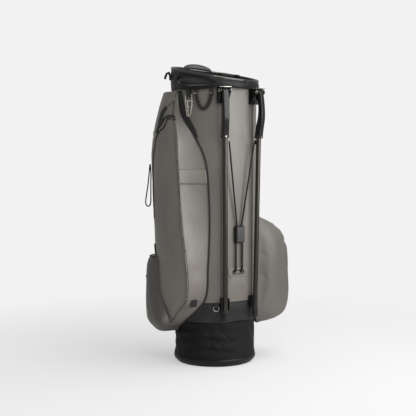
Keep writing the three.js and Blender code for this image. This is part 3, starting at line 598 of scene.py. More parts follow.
def spots(line, pitch):
    """Even spots along a line of places and normals, each with its side and a turn to lie along the line."""
    places = [p for p, _ in line]
    for spot, tangent in walk(places, pitch):
        nearest = min(range(len(places)), key=lambda i: (places[i] - spot).length_squared)
        side = line[nearest][1].cross(tangent).normalized()
        yield spot, side, Matrix((tangent, side, tangent.cross(side))).transposed().to_4x4()


STITCH = Matrix.Diagonal((0.0030, 0.0008, 0.0007, 1))  # long, wide and proud


def stitches(name, lines, thread, pitch=0.0042):
    """Rows of thread along lines of places and normals, as short rounded stitches."""
    bm = bmesh.new()
    for line in lines:
        for spot, _, turn in spots(line, pitch):
            place = Matrix.Translation(spot) @ turn @ STITCH
            bmesh.ops.create_icosphere(bm, subdivisions=1, radius=0.5, matrix=place)
    finished(name, bm, "bag", thread, crease=60)


def spun_thread(name, tone):
    paint, shader, place = surface(name, Sheen_Weight=0.3)
    strand = place.cloud(3000.0, 2.0)
    strand.tint(shade(tone), tuple(c * 1.3 for c in shade(tone)[:3]) + (1.0,
                                                                        )).into(shader.inputs["Base Color"])
    (strand * 0.2 + 0.6).into(shader.inputs["Roughness"])
    strand.relief(0.0002, 0.6).into(shader.inputs["Normal"])
    return paint


pale_thread = spun_thread("pale_thread", "8f8a80")
dark_thread = spun_thread("dark_thread", "3b3834")

PANEL_FRONT = -0.1159
panel_line = [Vector((0, 0, 0.1945 + 0.612 * i / 30)) for i in range(31)]
front = Vector((0, -1, 0))
rows = [[(p + Vector((x, PANEL_FRONT - 0.0001, 0)), front) for p in panel_line]
        for x in (-0.0445, -0.041, 0.041, 0.0445)]
stitches("panel_stitching", rows, dark_thread)
SLOT_Z = 0.277


def slot_line(half_width, radius, y, count=14):
    """An upright oval round the rod slot, closed."""
    turns = [math.pi * i / count for i in range(count + 1)]
    right = [Vector((half_width + radius * math.sin(t), y, SLOT_Z + radius * math.cos(t))) for t in turns]
    left = [Vector((-half_width - radius * math.sin(t), y, SLOT_Z - radius * math.cos(t))) for t in turns]
    return right + left


PATCH_FRONT = -0.1174


def with_slot(outline, hole, front_y, thickness, round_off):
    """A flat sheet facing the front, with a hole through it and its front edges eased."""
    bm = bmesh.new()
    edges = []
    for line in (outline, hole):
        verts = [bm.verts.new((p.x, front_y + thickness, p.z)) for p in line]
        edges += [bm.edges.new(pair) for pair in zip(verts, verts[1:] + verts[:1])]
    bmesh.ops.triangle_fill(bm, use_beauty=True, use_dissolve=False, edges=edges)
    made = bmesh.ops.extrude_face_region(bm, geom=bm.faces[:], use_keep_orig=True)["geom"]
    top = {g for g in made if isinstance(g, bmesh.types.BMVert)}
    bmesh.ops.translate(bm, vec=(0, -thickness, 0), verts=list(top))
    rims = [e for e in bm.edges if set(e.verts) <= top and any(not set(f.verts) <= top for f in e.link_faces)]
    bmesh.ops.bevel(bm, geom=rims, offset=round_off, offset_type="OFFSET", affect="EDGES", segments=3,
                    profile=0.5,
                    material=-1, clamp_overlap=True)
    return bm


hole = slot_line(0.0155, 0.0050, 0)
corners = [(-0.048, 0.1912), (0.048, 0.1912), (0.048, 0.8095), (-0.048, 0.8095)]
panel = with_slot([Vector((x, 0, z)) for x, z in corners], hole, PANEL_FRONT, 0.0017, 0.0006)
finished("panel_sheet", panel, "bag", leather, ["front_panel"])
patch = with_slot(slot_line(0.023, 0.0128, 0), hole, PATCH_FRONT, 0.0013, 0.0005)
finished("slot_oval", patch, "bag", leather, ["slot_patch"])
oval = slot_line(0.023, 0.0108, PATCH_FRONT - 0.0001)
stitches("patch_stitching", [[(p, front) for p in oval + oval[:1]]], pale_thread, pitch=0.0036)
strip("patch_welt", slot_line(0.023, 0.0128, PATCH_FRONT + 0.0006), round_section(0.0011), leather, "leather",
      closed=True, out=front)
strip("slot_lip", slot_line(0.0155, 0.0057, PATCH_FRONT - 0.0001), round_section(0.0009), black_rubber,
      "leather",
      closed=True, out=front)
back_seam = [(around(180, 0.0002, 0.196 + 0.606 * i / 30), Vector((0, 1, 0))) for i in range(31)]
stitches("back_seam_stitching", [[(p + Vector((x, 0, 0)), m) for p, m in back_seam] for x in (-0.005, 0.005)],
         dark_thread)
for name, degrees in (("left", -26), ("right", 26)):
    edge = [around(degrees, 0.0006, 0.192 + 0.618 * i / 24) for i in range(25)]
    strip(f"tube_welt_{name}", edge, round_section(0.0014), leather_dark, "leather_dark", out=off_axis)

# ------------------------------------------------ collar, bead and handles
# The mouth is a moulded ring that climbs to the back, with a grab opening on
# each side. A round rail runs along its rim, and a closed dome grip stands on it.
COLLAR_LOW, COLLAR_R, SILL, RAIL = 0.8112, 0.1305, 0.0065, 0.0038
LOWER_END, UPPER_START = 0.4, 0.6  # the collar grid's shares of height below and above an opening
GRABS = ((-93, -34), (70, 134))  # degrees round the collar
RIM_MIDDLE, TILT_BACK, TILT_SIDE = 0.8562, 0.2, 0.045
slider_nylon = moulding("slider_nylon", "454546", 0.46, 2200.0)
glossy_nylon = moulding("glossy_nylon", "0e0d0e", 0.26, 3200.0, 0.3)
# The collar's inner faces get a darker, duller copy of the black nylon: its darker tone is painted shade
# inside the mouth.
mouth_nylon_painted_shade = moulding("mouth_nylon_painted_shade", "070707", 0.7)


def rim_z(x, y):
    return RIM_MIDDLE + TILT_BACK * y - TILT_SIDE * x


def grab_share(degrees):
    """How open the collar is at an angle: 0 where it is solid, 1 in the middle of an opening."""
    for low, high in GRABS:
        if low < degrees < high:
            return min(1.0, min(degrees - low, high - degrees) / 10) ** 0.5
    return 0.0


collar = bmesh.new()
bmesh.ops.create_grid(collar, x_segments=240, y_segments=14, size=0.5)
opens = collar.verts.layers.int.new("opens")
for vert in collar.verts:
    degrees = (vert.co.x + 0.5) * 360 - 180
    share = vert.co.y + 0.5
    x, y = COLLAR_R * math.sin(math.radians(degrees)), -COLLAR_R * math.cos(math.radians(degrees))
    top = rim_z(x, y)
    open_share = grab_share(degrees)
    middle = (COLLAR_LOW + SILL + top - RAIL) / 2
    low_edge = middle + (COLLAR_LOW + SILL - middle) * open_share
    high_edge = middle + (top - RAIL - middle) * open_share
    sag = 0.0
    if GRABS[0][0] < degrees < GRABS[0][1]:
        sag = 0.0055 * math.sin(math.pi * (degrees - GRABS[0][0]) / (GRABS[0][1] - GRABS[0][0]))
    if share < LOWER_END:
        t = share / LOWER_END
        z = COLLAR_LOW - sag + (low_edge - COLLAR_LOW) * t
    elif share > UPPER_START:
        t = (share - UPPER_START) / (1 - UPPER_START)
        z = high_edge + (top - high_edge) * t
    else:
        t = (share - LOWER_END) / (UPPER_START - LOWER_END)
        z = (low_edge - sag) * (1 - t) + high_edge * t
    vert[opens] = int(open_share > 0 and 0.39 < share < 0.61)
    bulge = 0.0018 * math.sin(math.pi * share) + 0.0016 * open_share * (share < 0.45)
    vert.co = (x * (1 + bulge / COLLAR_R), y * (1 + bulge / COLLAR_R), z)
bmesh.ops.remove_doubles(collar, verts=collar.verts, dist=1e-5)
gone = [face for face in collar.faces if all(vert[opens] for vert in face.verts)]
bmesh.ops.delete(collar, geom=gone, context="FACES")
ring = finished("collar_ring", collar, "bag", (black_nylon, mouth_nylon_painted_shade), ["collar"], crease=50)
wall = ring.modifiers.new("wall", "SOLIDIFY")
# The inner faces take the darker nylon, painted shade inside the mouth.
wall.material_offset = 1
wall.thickness, wall.offset, wall.use_even_offset = 0.0066, -1, True
soft = ring.modifiers.new("soft edges", "BEVEL")
soft.width, soft.segments, soft.limit_method, soft.angle_limit = 0.0018, 3, "ANGLE", math.radians(45)

RAIL_R, RAIL_STEPS = 0.1275, 160
rail_line = []
for i in range(RAIL_STEPS):
    turn = 2 * math.pi * i / RAIL_STEPS
    x, y = RAIL_R * math.sin(turn), -RAIL_R * math.cos(turn)
    rail_line.append((x, y, rim_z(x, y) + 0.0028))
rail_metal, rail_shader, place = surface("rail_metal", Metallic=0.95)
place.cloud(9.0).tint(shade("4b4947"), shade("5d5b58")).into(rail_shader.inputs["Base Color"])
(place.cloud(160.0, 4.0) * 0.08 + 0.15).into(rail_shader.inputs["Roughness"])
strip("rim_rail", rail_line, round_section(0.0044, 14), rail_metal, "moulded", ["rim_bead"], closed=True,
      out=upward)
# A paler grey band covers the rail from 117 to 133 degrees round.
strip("rim_pale_band", rail_line[52:60], round_section(0.0054, 14), slider_nylon, "moulded",
      out=Vector((0, 0, 1)))
strip("rim_clamp", rail_line[48:52], round_section(0.0064, 14), glossy_nylon, "moulded",
      out=Vector((0, 0, 1)))

GRIP_AT, GRIP_HALF, GRIP_RISE, GRIP_STEPS = 170, 0.0485, 0.0172, 40
arch, heights = [], []
for i in range(GRIP_STEPS + 1):
    offset = -1 + 2 * i / GRIP_STEPS
    turn = math.radians(GRIP_AT) + offset * GRIP_HALF / RAIL_R
    x, y = RAIL_R * math.sin(turn), -RAIL_R * math.cos(turn)
    heights.append(max(0.06, math.sqrt(1 - offset * offset)))
    arch.append((x, y, rim_z(x, y) + 0.0040 + GRIP_RISE * heights[-1] / 2))
strip("dome_grip", arch, pillow_section(0.0058, GRIP_RISE / 2, 0.55, 0.75, 28), glossy_nylon, "moulded",
      ["dome_handle"], out=upward,
      slim=lambda t: (0.5 + 0.5 * heights[round(t * GRIP_STEPS)], heights[round(t * GRIP_STEPS)]))

# Six openings are framed by bars wrapped in brushed cloth, so that clubs don't rattle.
DIVIDER_Z, DIVIDER_TOP = 0.8052, 0.8212
ring_levels = [(-0.0105, DIVIDER_Z), (-0.0105, DIVIDER_TOP - 0.002), (-0.0125, DIVIDER_TOP),
               (-0.0155, DIVIDER_TOP),
               (-0.0175, DIVIDER_TOP - 0.002), (-0.0175, DIVIDER_Z)]
divider = walled(ring_levels, 120)
bar(divider, (-0.0035, -0.1005, DIVIDER_Z), (0.0035, 0.1115, DIVIDER_TOP), round_off=0.003, segments=4)
for y in (-0.0386, 0.0386):
    bar(divider, (-0.1035, y - 0.0035, DIVIDER_Z), (0.1035, y + 0.0035, DIVIDER_TOP), round_off=0.003,
        segments=4)
finished("divider_bars", divider, "bag", lining, ["divider_frame"])

# ------------------------------------------------------------ folding legs
# Each leg is an anodised tube in a moulded, bowed housing that swings on a pin
# between the ears of a bracket. Rubber foot below, and a knob for the push rod.
leg_metal, metal_shader, place = surface("dark_anodised", Metallic=0.85, Coat_Weight=0.1)
draw = place.scaled(900, 900, 8).cloud(1.0, 4.0)
(draw * 0.6 + place.cloud(7.0) * 0.4).tint(shade("35322f"),
                                           shade("56514c")).into(metal_shader.inputs["Base Color"])
(draw * 0.10 + 0.20).into(metal_shader.inputs["Roughness"])


def plated_metal(name, tone, rough):
    """Satin nickel plate with fine hairlines and slightly dull patches."""
    paint, shader, place = surface(name, Metallic=1.0)
    hair = place.scaled(1, 1, 14).cloud(520.0, 4.0)
    (hair * 0.6 + place.cloud(60.0) * 0.4).tint(shade(tone),
                                                shade("efe9dc")).into(shader.inputs["Base Color"])
    (hair * 0.12 + rough).into(shader.inputs["Roughness"])
    hair.relief(0.00005, 0.4).into(shader.inputs["Normal"])
    return paint


nickel = plated_metal("satin_nickel", "bdb7aa", 0.2)
dark_screw = plated_metal("dark_screw", "6f6b66", 0.3)
painted(nickel, "base_hinge_pin", "leg_pin_left", "leg_pin_right", "loop_rivet_front", "loop_rivet_back",
        "apparel_pull", "ball_pull")


def quadratic(start, bend, end, count=8):
    return [tuple((1 - t) ** 2 * a + 2 * t * (1 - t) * b + t * t * c for a, b, c in zip(start, bend, end))
            for t in (i / count for i in range(1, count + 1))]


def disc(bm, radius, low, high, place, sides=24):
    """A short round pin or screw head along its own Z, its edges eased."""
    verts = bmesh.ops.create_cone(bm, cap_ends=True, segments=sides, radius1=radius, radius2=radius,
                                  depth=high - low, matrix=Matrix.Translation((0, 0,
                                                                               (low + high) / 2)))["verts"]
    rims = {e for v in verts for e in v.link_edges if abs(e.verts[0].co.z - e.verts[1].co.z) < 1e-9}
    made = bmesh.ops.bevel(bm, geom=list(rims), offset=min(radius, high - low) * 0.2, offset_type="OFFSET",
                           affect="EDGES", segments=2, profile=0.5, material=-1, clamp_overlap=True)["verts"]
    every = list({v for v in made} | {v for v in verts if v.is_valid})
    bmesh.ops.transform(bm, matrix=place, verts=every)


HOUSING_LONG = 0.134
SHAFT_R, SHAFT_TOP, SHAFT_FOOT = 0.007, -0.1343, -0.650
ACROSS = Matrix(((0, 0, 1, 0), (1, 0, 0, 0), (0, 1, 0, 0), (0, 0, 0, 1)))  # outline X, Y, Z to leg Y, Z, X
housing_outline = [(0.0085 * math.cos(t), 0.0085 * math.sin(t))
                   for t in (math.pi * i / 10 for i in range(11))]
housing_outline += quadratic((-0.0085, 0), (-0.018, -0.050), (-0.016, -0.0804))
housing_outline += quadratic((-0.016, -0.0804), (-0.010, -0.122), (-0.0095, -HOUSING_LONG))
housing_outline += [(0.0095, -HOUSING_LONG)]
housing_outline += quadratic((0.0095, -HOUSING_LONG), (0.008, -0.104), (0.002, -0.0831))
housing_outline += quadratic((0.002, -0.0831), (-0.006, -0.040), (0.0085, 0))[:-1]
for name, side in LEGS:
    place, body = leg_place(side), f"leg_{name}"
    bracket = bmesh.new()
    ear_outline = [(0.0085 * math.sin(t), 0.0085 * math.cos(t))
                   for t in (-math.pi * i / 10 for i in range(11))]
    ear_outline += [(0.0100, -0.0200), (0.0160, -0.0280), (0.0272, -0.0280), (0.0272, 0.0085)]
    for ear in (-1, 1):
        ends = sorted((ear * 0.0103, ear * 0.0173))
        plated(bracket, ear_outline, ends[0], ends[1], place @ ACROSS, 0.0012)
    bar(bracket, (-0.0173, 0.0135, -0.0355), (0.0173, 0.0268, 0.0084), place, 0.0015)
    finished(f"bracket_{name}", bracket, "bag", glossy_nylon, [f"leg_bracket_{name}"])
    caps = bmesh.new()
    for ear in (-1, 1):
        disc(caps, 0.0052, 0.0172, 0.0188, place @ Matrix.Rotation(ear * math.pi / 2, 4, "Y"))
    bar(caps, (-0.0165, -0.0098, 0.0088), (0.0165, 0.0200, 0.0112), place, 0.0008)
    finished(f"bracket_trim_{name}", caps, "bag", nickel)

    housing = bmesh.new()
    plated(housing, housing_outline, -0.0095, 0.0095, place @ ACROSS, 0.0042, 5)
    finished(f"housing_{name}", housing, body, glossy_nylon, [f"leg_housing_{name}"], crease=50)
    sleeve = bmesh.new()
    bar(sleeve, (-0.0100, -0.0100, -0.1345), (0.0100, 0.0100, -0.1262), place, 0.0028, 4)
    finished(f"housing_end_{name}", sleeve, body, frame_nylon)
    screws = bmesh.new()
    disc(screws, 0.0026, 0.0098, 0.0108, place @ Matrix.Translation((0, 0,
                                                                     -0.1304)) @ Matrix.Rotation(math.pi / 2,
                                                                                                 4, "X"))
    finished(f"housing_screw_{name}", screws, body, dark_screw)

    shaft = bmesh.new()
    bmesh.ops.create_cone(shaft, cap_ends=True, segments=40, radius1=SHAFT_R, radius2=SHAFT_R,
                          depth=SHAFT_TOP - SHAFT_FOOT,
                          matrix=place @ Matrix.Translation((0, 0, (SHAFT_FOOT + SHAFT_TOP) / 2)))
    finished(f"leg_shaft_{name}", shaft, body, leg_metal, [f"leg_tube_{name}"])
    toe = spun([(0, -0.009), (0.0035, -0.0088), (0.0062, -0.0074), (0.0082, -0.0048), (0.0090, -0.001),
                (0.0090, 0.0035),
                (0.0084, 0.0042), (0.0084, 0.0056), (0.0090, 0.0062), (0.0090, 0.0092), (0.0084, 0.0099),
                (0.0084, 0.0113),
                (0.0090, 0.0120), (0.0090, 0.0194), (0.0083, 0.0206), (0.0073, 0.0210), (0.0071, 0.0200),
                (0, 0.0190)], 40)
    bmesh.ops.transform(toe, matrix=place @ Matrix.Translation((0, 0, -LEG_LONG)), verts=toe.verts)
    finished(f"foot_{name}", toe, body, black_rubber, [f"leg_foot_{name}"])
    knob = bmesh.new()
    bar(knob, (-0.004, 0.0066, -0.1523), (0.004, 0.0130, -0.1403), place, 0.0015, 3)
    finished(f"knob_{name}", knob, body, black_nylon, [f"rod_knob_{name}"])

# -------------------------------------------------- slider, rods and wires
# Two spring wires come up out of the slot into a moulded slider, and a rod
# runs from it to the back of each leg. Leaning the bag drives the legs out.
wire_coat = moulding("wire_coat", "151414", 0.34, 4000.0)
painted(wire_coat, "lift_wire", "stay_left", "stay_right", "stay_back")
slider_low, slider_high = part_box("slider")
slider = bmesh.new()
bar(slider, slider_low, slider_high, round_off=0.0055, segments=5)
finished("slider_block", slider, "slider", black_nylon, ["slider"])
cover = bmesh.new()
bar(cover, (slider_low.x + 0.004, slider_low.y - 0.0012, slider_low.z + 0.003),
    (slider_high.x - 0.002, slider_low.y + 0.004, slider_high.z - 0.003), round_off=0.0016, segments=4)
finished("slider_cover", cover, "slider", slider_nylon)

ROD_Y, ROD_R = -0.1214, 0.0025
for name, side in LEGS:
    x = side * 0.0115
    route = smooth_line([(x, ROD_Y, 0.366), (x, ROD_Y, 0.340), (x, ROD_Y, 0.307), (x, ROD_Y + 0.0006, 0.286),
                         (x, FLAT_Y + 0.001, 0.275)], 8)
    piece = strip(f"front_wire_{name}", route, round_section(ROD_R, 14), wire_coat, "wire",
                  [f"front_rod_{name}"], body=None, out=Vector((1, 0, 0)))
    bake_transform(piece)
    ends = [Vector((side * 0.008, ROD_Y, slider_high.z - 0.002)),
            leg_place(side) @ Vector((-side * 0.014, 0.006, -0.1443))]
    strip(f"thrust_rod_{name}", ends, round_section(0.0024, 14), wire_coat, "wire", [f"push_rod_{name}"],
          body=f"push_rod_{name}", out=Vector((1, 0, 0)))

# --------------------------------------- hook, hanging loop and ring
# Small fittings on the outside: a pressed snap hook on a webbing tab, a soft
# loop riveted under the collar, and a D-ring low on the front.
webbing, web_shader, lay = surface("webbing", source="lay", Sheen_Weight=0.08, Sheen_Roughness=0.5)
across, along = lay.axis("X"), lay.axis("Z")
ribs = (along * 2600).wave()
yarn = (across * 4200 + ribs * 1.2).wave()
(ribs.fit(-1, 1) * 0.5 + yarn.fit(-1, 1) * 0.3 + lay.cloud(140.0, 4.0) * 0.3).tint(
    shade("0c0c0c"), shade("262526")).into(web_shader.inputs["Base Color"])
(yarn.fit(-1, 1) * 0.1 + 0.68).into(web_shader.inputs["Roughness"])
(ribs * 0.7 + yarn * 0.3).relief(0.00025, 0.7).into(web_shader.inputs["Normal"])


def station(degrees, standoff, z):
    """A place on the tube whose -Y faces straight out."""
    return Matrix.Translation(around(degrees, standoff, z)) @ Matrix.Rotation(math.radians(degrees), 4, "Z")


def strap_at(name, place, path, width, thickness, replaces):
    """A flat webbing strap along a path in a station's Y and Z."""
    points = [place @ Vector((0, y, z)) for y, z in path]
    facing = place.to_3x3() @ Vector((1, 0, 0))
    section = [(b, a) for a, b in flat_section(width, thickness)]
    bm = swept(bmesh.new(), points, section, out=facing)
    layer = with_lay(bm)
    for vert in bm.verts:
        vert[layer] = (vert[layer][1], vert[layer][0], vert[layer][2])
    return finished(name, bm, "bag", webbing, replaces)


hang = station(-72, 0.001, 0.7912)
strap_at("hook_tab", hang, [(0, 0.0190), (0, 0.0040), (-0.0001, -0.0032), (-0.0026, -0.0048),
                            (-0.0053, -0.0032), (-0.0054, 0.0040), (-0.0054, 0.0190)], 0.014, 0.0012,
         replaces=["hook_strap"])
hook = bmesh.new()
HOOK_Y = -0.0026
outer = [(-0.0108, 0), (-0.0124, -0.0165), (-0.0092, -0.040), (-0.0058, -0.0605), (0.0058, -0.0605),
         (0.0092, -0.040),
         (0.0124, -0.0165), (0.0108, 0)]
corners = [hang @ Vector((x, HOOK_Y, z)) for x, z in outer]
hook_line = [p for a, b in zip(corners, corners[1:] + corners[:1])
             for p in (a.lerp(b, 0.12), a.lerp(b, 0.5), a.lerp(b, 0.88))]
out_of_hook = hang.to_3x3() @ front
swept(hook, hook_line, [(x * 1.15, y * 0.85) for x, y in round_section(0.0015, 10)], closed=True,
      out=out_of_hook)
swept(hook, [hang @ Vector((x, HOOK_Y, -0.0165)) for x in (-0.0124, 0, 0.0124)],
      [(x * 1.3, y * 0.85) for x, y in round_section(0.0017, 10)], out=out_of_hook)
swept(hook, [hang @ Vector((x, HOOK_Y, z)) for x, z in ((-0.0040, -0.018), (-0.0032, -0.040),
                                                        (-0.0016, -0.0590))],
      [(x, y * 0.8) for x, y in round_section(0.0012, 8)], out=out_of_hook)
finished("hook_wire", hook, "snap_hook", nickel, ["snap_hook"])

loop_path = [around(d, 0.0050, COLLAR_LOW + z) for d, z in
             ((-61, 0.001), (-60, -0.026), (-56, -0.050), (-50.5, -0.060), (-45, -0.050), (-41, -0.026),
              (-40, 0.001))]
strip("hanging_strap", smooth_line(loop_path, 8), flat_section(0.0100, 0.0036), webbing, "webbing",
      ["hanging_loop"], out=off_axis)

ring_place = station(-34, 0.0012, 0.1789)
strap_at("ring_tab", ring_place, [(-0.0005, 0.0115), (-0.0006, 0.0030), (-0.0008, -0.0015),
                                  (-0.0022, -0.0026),
                                  (-0.0038, -0.0015), (-0.0042, 0.0030), (-0.0044, 0.0115)], 0.012, 0.0011,
         replaces=["d_ring_tab"])
ring_curve = [(-0.0079, 0)] + [(0.0079 * math.cos(t), -0.005 + 0.0079 * math.sin(t)) for t in
                              (math.pi + math.pi * i / 12 for i in range(13))] + [(0.0079, 0), (0, 0)]
strip("ring_wire", [ring_place @ Vector((x, -0.0023, z)) for x, z in ring_curve], round_section(0.00115),
      nickel, "nickel", ["d_ring"], body="d_ring", closed=True, out=ring_place.to_3x3() @ front)

# ------------------------------------------------- large side pocket
# The tall pocket is cut from panels of the same coated cloth: a pale gusset,
# a broad outer face and a back strip, sewn together with welted, double seams.
POCKET_LOW, POCKET_TALL = 0.115, 0.6902
POCKET_ROWS = (
    (0, (-90, -12), (-92, 34), (-97, 37), (-104, 38), (-117, 38), (-128, -12)),
    (0.07, (-62, -12), (-77, 40), (-88, 45), (-103, 46), (-119, 47), (-134, -12)),
    (0.13, (-48, -12), (-63, 55), (-83, 52), (-103, 52), (-120, 52), (-138, -12)),
    (0.26, (-45, -12), (-62.5, 56), (-85, 53), (-104, 55), (-120, 55), (-140, -12)),
    (0.41, (-43, -12), (-68, 51), (-88, 53), (-105, 58), (-120, 57), (-140, -12)),
    (0.56, (-44, -12), (-72, 48), (-90, 54), (-106, 60), (-119, 62), (-140, -12)),
    (0.71, (-49, -12), (-75, 46), (-91, 53), (-106, 60), (-119, 65), (-140, -12)),
    (0.82, (-66, -12), (-79, 39), (-93, 48), (-107, 55), (-121, 59), (-140, -12)),
    (0.91, (-88, -12), (-89, 26), (-97, 35), (-110, 44), (-122, 47), (-140, -12)),
    (1, (-93, -12), (-94, 11), (-102, 16), (-112, 24), (-124, 29), (-140, -12)),
)


def eased(values, places, at):
    """A smooth reading between values set at places."""
    i = max(0, min(len(places) - 2, sum(at >= p for p in places) - 1))
    t = (at - places[i]) / (places[i + 1] - places[i])
    span = places[i + 1] - places[i]

    def slope(k):
        if k == 0 or k == len(places) - 1:
            return (values[min(k + 1, len(places) - 1)] - values[max(k - 1, 0)]) / (
                places[min(k + 1, len(places) - 1)] - places[max(k - 1, 0)])
        return (values[k + 1] - values[k - 1]) / (places[k + 1] - places[k - 1])

    a, b, c, d = values[i], values[i + 1], slope(i) * span, slope(i + 1) * span
    return a + t * c + t * t * (3 * (b - a) - 2 * c - d) + t ** 3 * (2 * (a - b) + c + d)


class Pocket:
    """A sewn pocket on the tube: rows of corners, as angle and stand-off, joined by runs of cloth."""

    def __init__(self, low, tall, rows, runs, root=-0.0012):
        self.low, self.tall = low, tall
        self.shares = [row[0] for row in rows]
        self.corners = list(zip(*[row[1:] for row in rows]))
        self.runs, self.root = runs, root  # each run: first corner, last corner, bulge

    def corner(self, index, share):
        degrees = eased([c[0] for c in self.corners[index]], self.shares, share)
        standoff = eased([c[1] for c in self.corners[index]], self.shares, share) / 1000
        if index in (0, len(self.corners) - 1):
            standoff = self.root
        return around(degrees, standoff, self.low + share * self.tall)

    def at(self, run, t, share):
        """A point on the pocket: which run of cloth, how far across it, and how high."""
        first, last, bulge = self.runs[run]
        points = [self.corner(i, share) for i in range(first, last + 1)]
        spans = len(points) - 1
        i = min(spans - 1, int(t * spans))
        local = t * spans - i
        a, b, c, d = (points[min(max(i + k, 0), spans)] for k in (-1, 0, 1, 2))
        place = 0.5 * (2 * b + (c - a) * local + (2 * a - 5 * b + 4 * c - d) * local ** 2
                       + (3 * b - a - 3 * c + d) * local ** 3)
        if bulge:
            chord = points[-1] - points[0]
            side = Vector((chord.y, -chord.x, 0)).normalized()
            place = place + side * (bulge * math.sin(math.pi * t))
        return place

    def shell(self, across, up):
        """The closed skin of the pocket; across gives how many faces each run has."""
        bm = bmesh.new()
        back = 12
        total = sum(across) + back
        bmesh.ops.create_grid(bm, x_segments=total, y_segments=up, size=0.5)
        for vert in bm.verts:
            column, share = round((vert.co.x + 0.5) * total), vert.co.y + 0.5
            run, left = 0, column
            while run < len(across) and left > across[run]:
                left -= across[run]
                run += 1
            if run < len(across):
                vert.co = self.at(run, left / across[run], share)
            else:
                start, end = self.corner(len(self.corners) - 1, share), self.corner(0, share)
                a, b = (math.degrees(math.atan2(p.x, -p.y)) for p in (start, end))
                behind = (b - a + 180) % 360 - 180
                vert.co = around(a + behind * left / back, self.root, start.z)
        bmesh.ops.remove_doubles(bm, verts=bm.verts, dist=1e-5)
        bmesh.ops.holes_fill(bm, edges=[e for e in bm.edges if e.is_boundary], sides=0)
        return bm


side_pocket = Pocket(POCKET_LOW, POCKET_TALL, POCKET_ROWS, ((0, 1, 0.0035), (1, 4, 0.0), (4, 5, 0.004)))
skin = side_pocket.shell((14, 36, 8), 120)
skin.verts.ensure_lookup_table()
for vert in skin.verts:
    co = vert.co
    stand = min(1.0, max(0.0, (co.xy.length - TUBE_R - 0.006) / 0.02))
    soft = noise.noise(co * 11) * 0.0022 + noise.noise(co * 27 + Vector((3, 1, 5))) * 0.0009
    vert.co = co + Vector((co.x, co.y, 0)).normalized() * (soft * stand)
side_pocket_piece = finished("side_pocket", skin, "bag", leather, ["apparel_pocket"], crease=32)
side_tree = tree_of(side_pocket_piece)


def seam(pocket, run, t, low, high, steps=60):
    """A line up a pocket, between two shares of its height."""
    return [pocket.at(run, t, low + (high - low) * i / steps) for i in range(steps + 1)]


def cord_on(name, tree, points, radius, paint, slot, lift=0.0):
    """A round welt or piping laid along a line on a surface."""
    places = laid(tree, points, lift)
    strip(name, [p for p, _ in places], round_section(radius, 8), paint, slot, out=[m for _, m in places])


def tape_on(name, tree, points, width, thickness, paint, slot, lift=0.0):
    """A flat strip laid along a line on a surface."""
    places = laid(tree, points, lift + thickness / 2)
    strip(name, [p for p, _ in places], flat_section(width, thickness, 2), paint, slot,
          out=[m for _, m in places])


# A dark cord laid beside the side seam's welt is painted shadow along the seam.
painted_seam_shadow = coated_cloth("painted_seam_shadow", ("24211e", "2e2a27"), 0.6)
cord_on("side_seam_painted_shadow", side_tree, seam(side_pocket, 0, 0.970, 0.02, 0.99), 0.0019, painted_seam_shadow, "leather",
        0.0004)
cord_on("side_seam_welt", side_tree, seam(side_pocket, 0, 1, 0.02, 0.99), 0.0016, leather, "leather", 0.0002)
outer_row = laid(side_tree, seam(side_pocket, 1, 0.030, 0.03, 0.985), 0.0002)
outer_row_2 = laid(side_tree, seam(side_pocket, 1, 0.062, 0.05, 0.98), 0.0002)
inner_row = laid(side_tree, seam(side_pocket, 0, 0.90, 0.05, 0.97), 0.0002)
stitches("side_seam_stitching", [outer_row, outer_row_2, inner_row], dark_thread)
back_row = laid(side_tree, seam(side_pocket, 1, 0.965, 0.12, 0.97), 0.0002)
stitches("side_back_stitching", [back_row], dark_thread)
piping_line = [around(eased([c[0] for c in side_pocket.corners[0]], side_pocket.shares, s) + 0.4, 0.0012,
                      POCKET_LOW + s * POCKET_TALL) for s in [i / 90 for i in range(91)]]
strip("side_piping", piping_line, round_section(0.0022, 8), webbing, "webbing", out=off_axis)
wedge_line = []
for i in range(41):
    share = 0.80 + 0.20 * i / 40
    degrees = eased([c[0] for c in side_pocket.corners[0]], side_pocket.shares, share)
    wedge_line.append(around(degrees + 1.4 + 4.4 * math.sin(math.pi * min(1, i / 40) * 0.8), 0.0014,
                             POCKET_LOW + share * POCKET_TALL))
strip("side_wedge", wedge_line, flat_section(0.021, 0.0022), webbing, "webbing", out=off_axis,
      slim=lambda t: (0.25 + 0.75 * math.sin(math.pi * (0.08 + 0.82 * t)), 1))

# Bands across the gusset: a sewn strip at half height and a seam near the foot.
band = bmesh.new()
bmesh.ops.create_grid(band, x_segments=16, y_segments=10, size=0.5)
BAND_LOW, BAND_HIGH = (0.535 - POCKET_LOW) / POCKET_TALL, (0.577 - POCKET_LOW) / POCKET_TALL
for vert in band.verts:
    u, v = vert.co.x + 0.5, vert.co.y + 0.5
    point = side_pocket.at(0, 0.06 + 0.92 * u, BAND_LOW + (BAND_HIGH - BAND_LOW) * v)
    place, normal, _, _ = side_tree.find_nearest(point)
    vert.co = place + normal * (0.0009 + 0.0012 * math.sin(math.pi * v) ** 0.4)
band_piece = finished("gusset_band", band, "bag", leather)
solid = band_piece.modifiers.new("cloth thickness", "SOLIDIFY")
solid.thickness, solid.offset = 0.0014, -1
rows = []
for z, t0, t1 in ((0.5375, 0.08, 0.96), (0.5745, 0.08, 0.96), (0.196, 0.02, 0.97), (0.1925, 0.02, 0.97)):
    share = (z - POCKET_LOW) / POCKET_TALL
    rows.append(laid(side_tree, [side_pocket.at(0, t0 + (t1 - t0) * i / 16, share) for i in range(17)],
                     0.0022 if z > 0.5 else 0.0003))
stitches("gusset_stitching", rows, dark_thread)
foot_seam = [side_pocket.at(0, i / 20, (0.194 - POCKET_LOW) / POCKET_TALL) for i in range(21)]
cord_on("gusset_foot_welt", side_tree, foot_seam, 0.0011, leather, "leather")

# Main zip on the outer face, an arched trim above it, and their black tapes.
teeth_metal = plated_metal("zip_metal", "a8a49c", 0.22)
TOOTH_PITCH, TOOTH_SHIFT = 0.0016, 0.0011
TOOTH = Matrix.Diagonal((0.0011, 0.0034, 0.0014, 1))


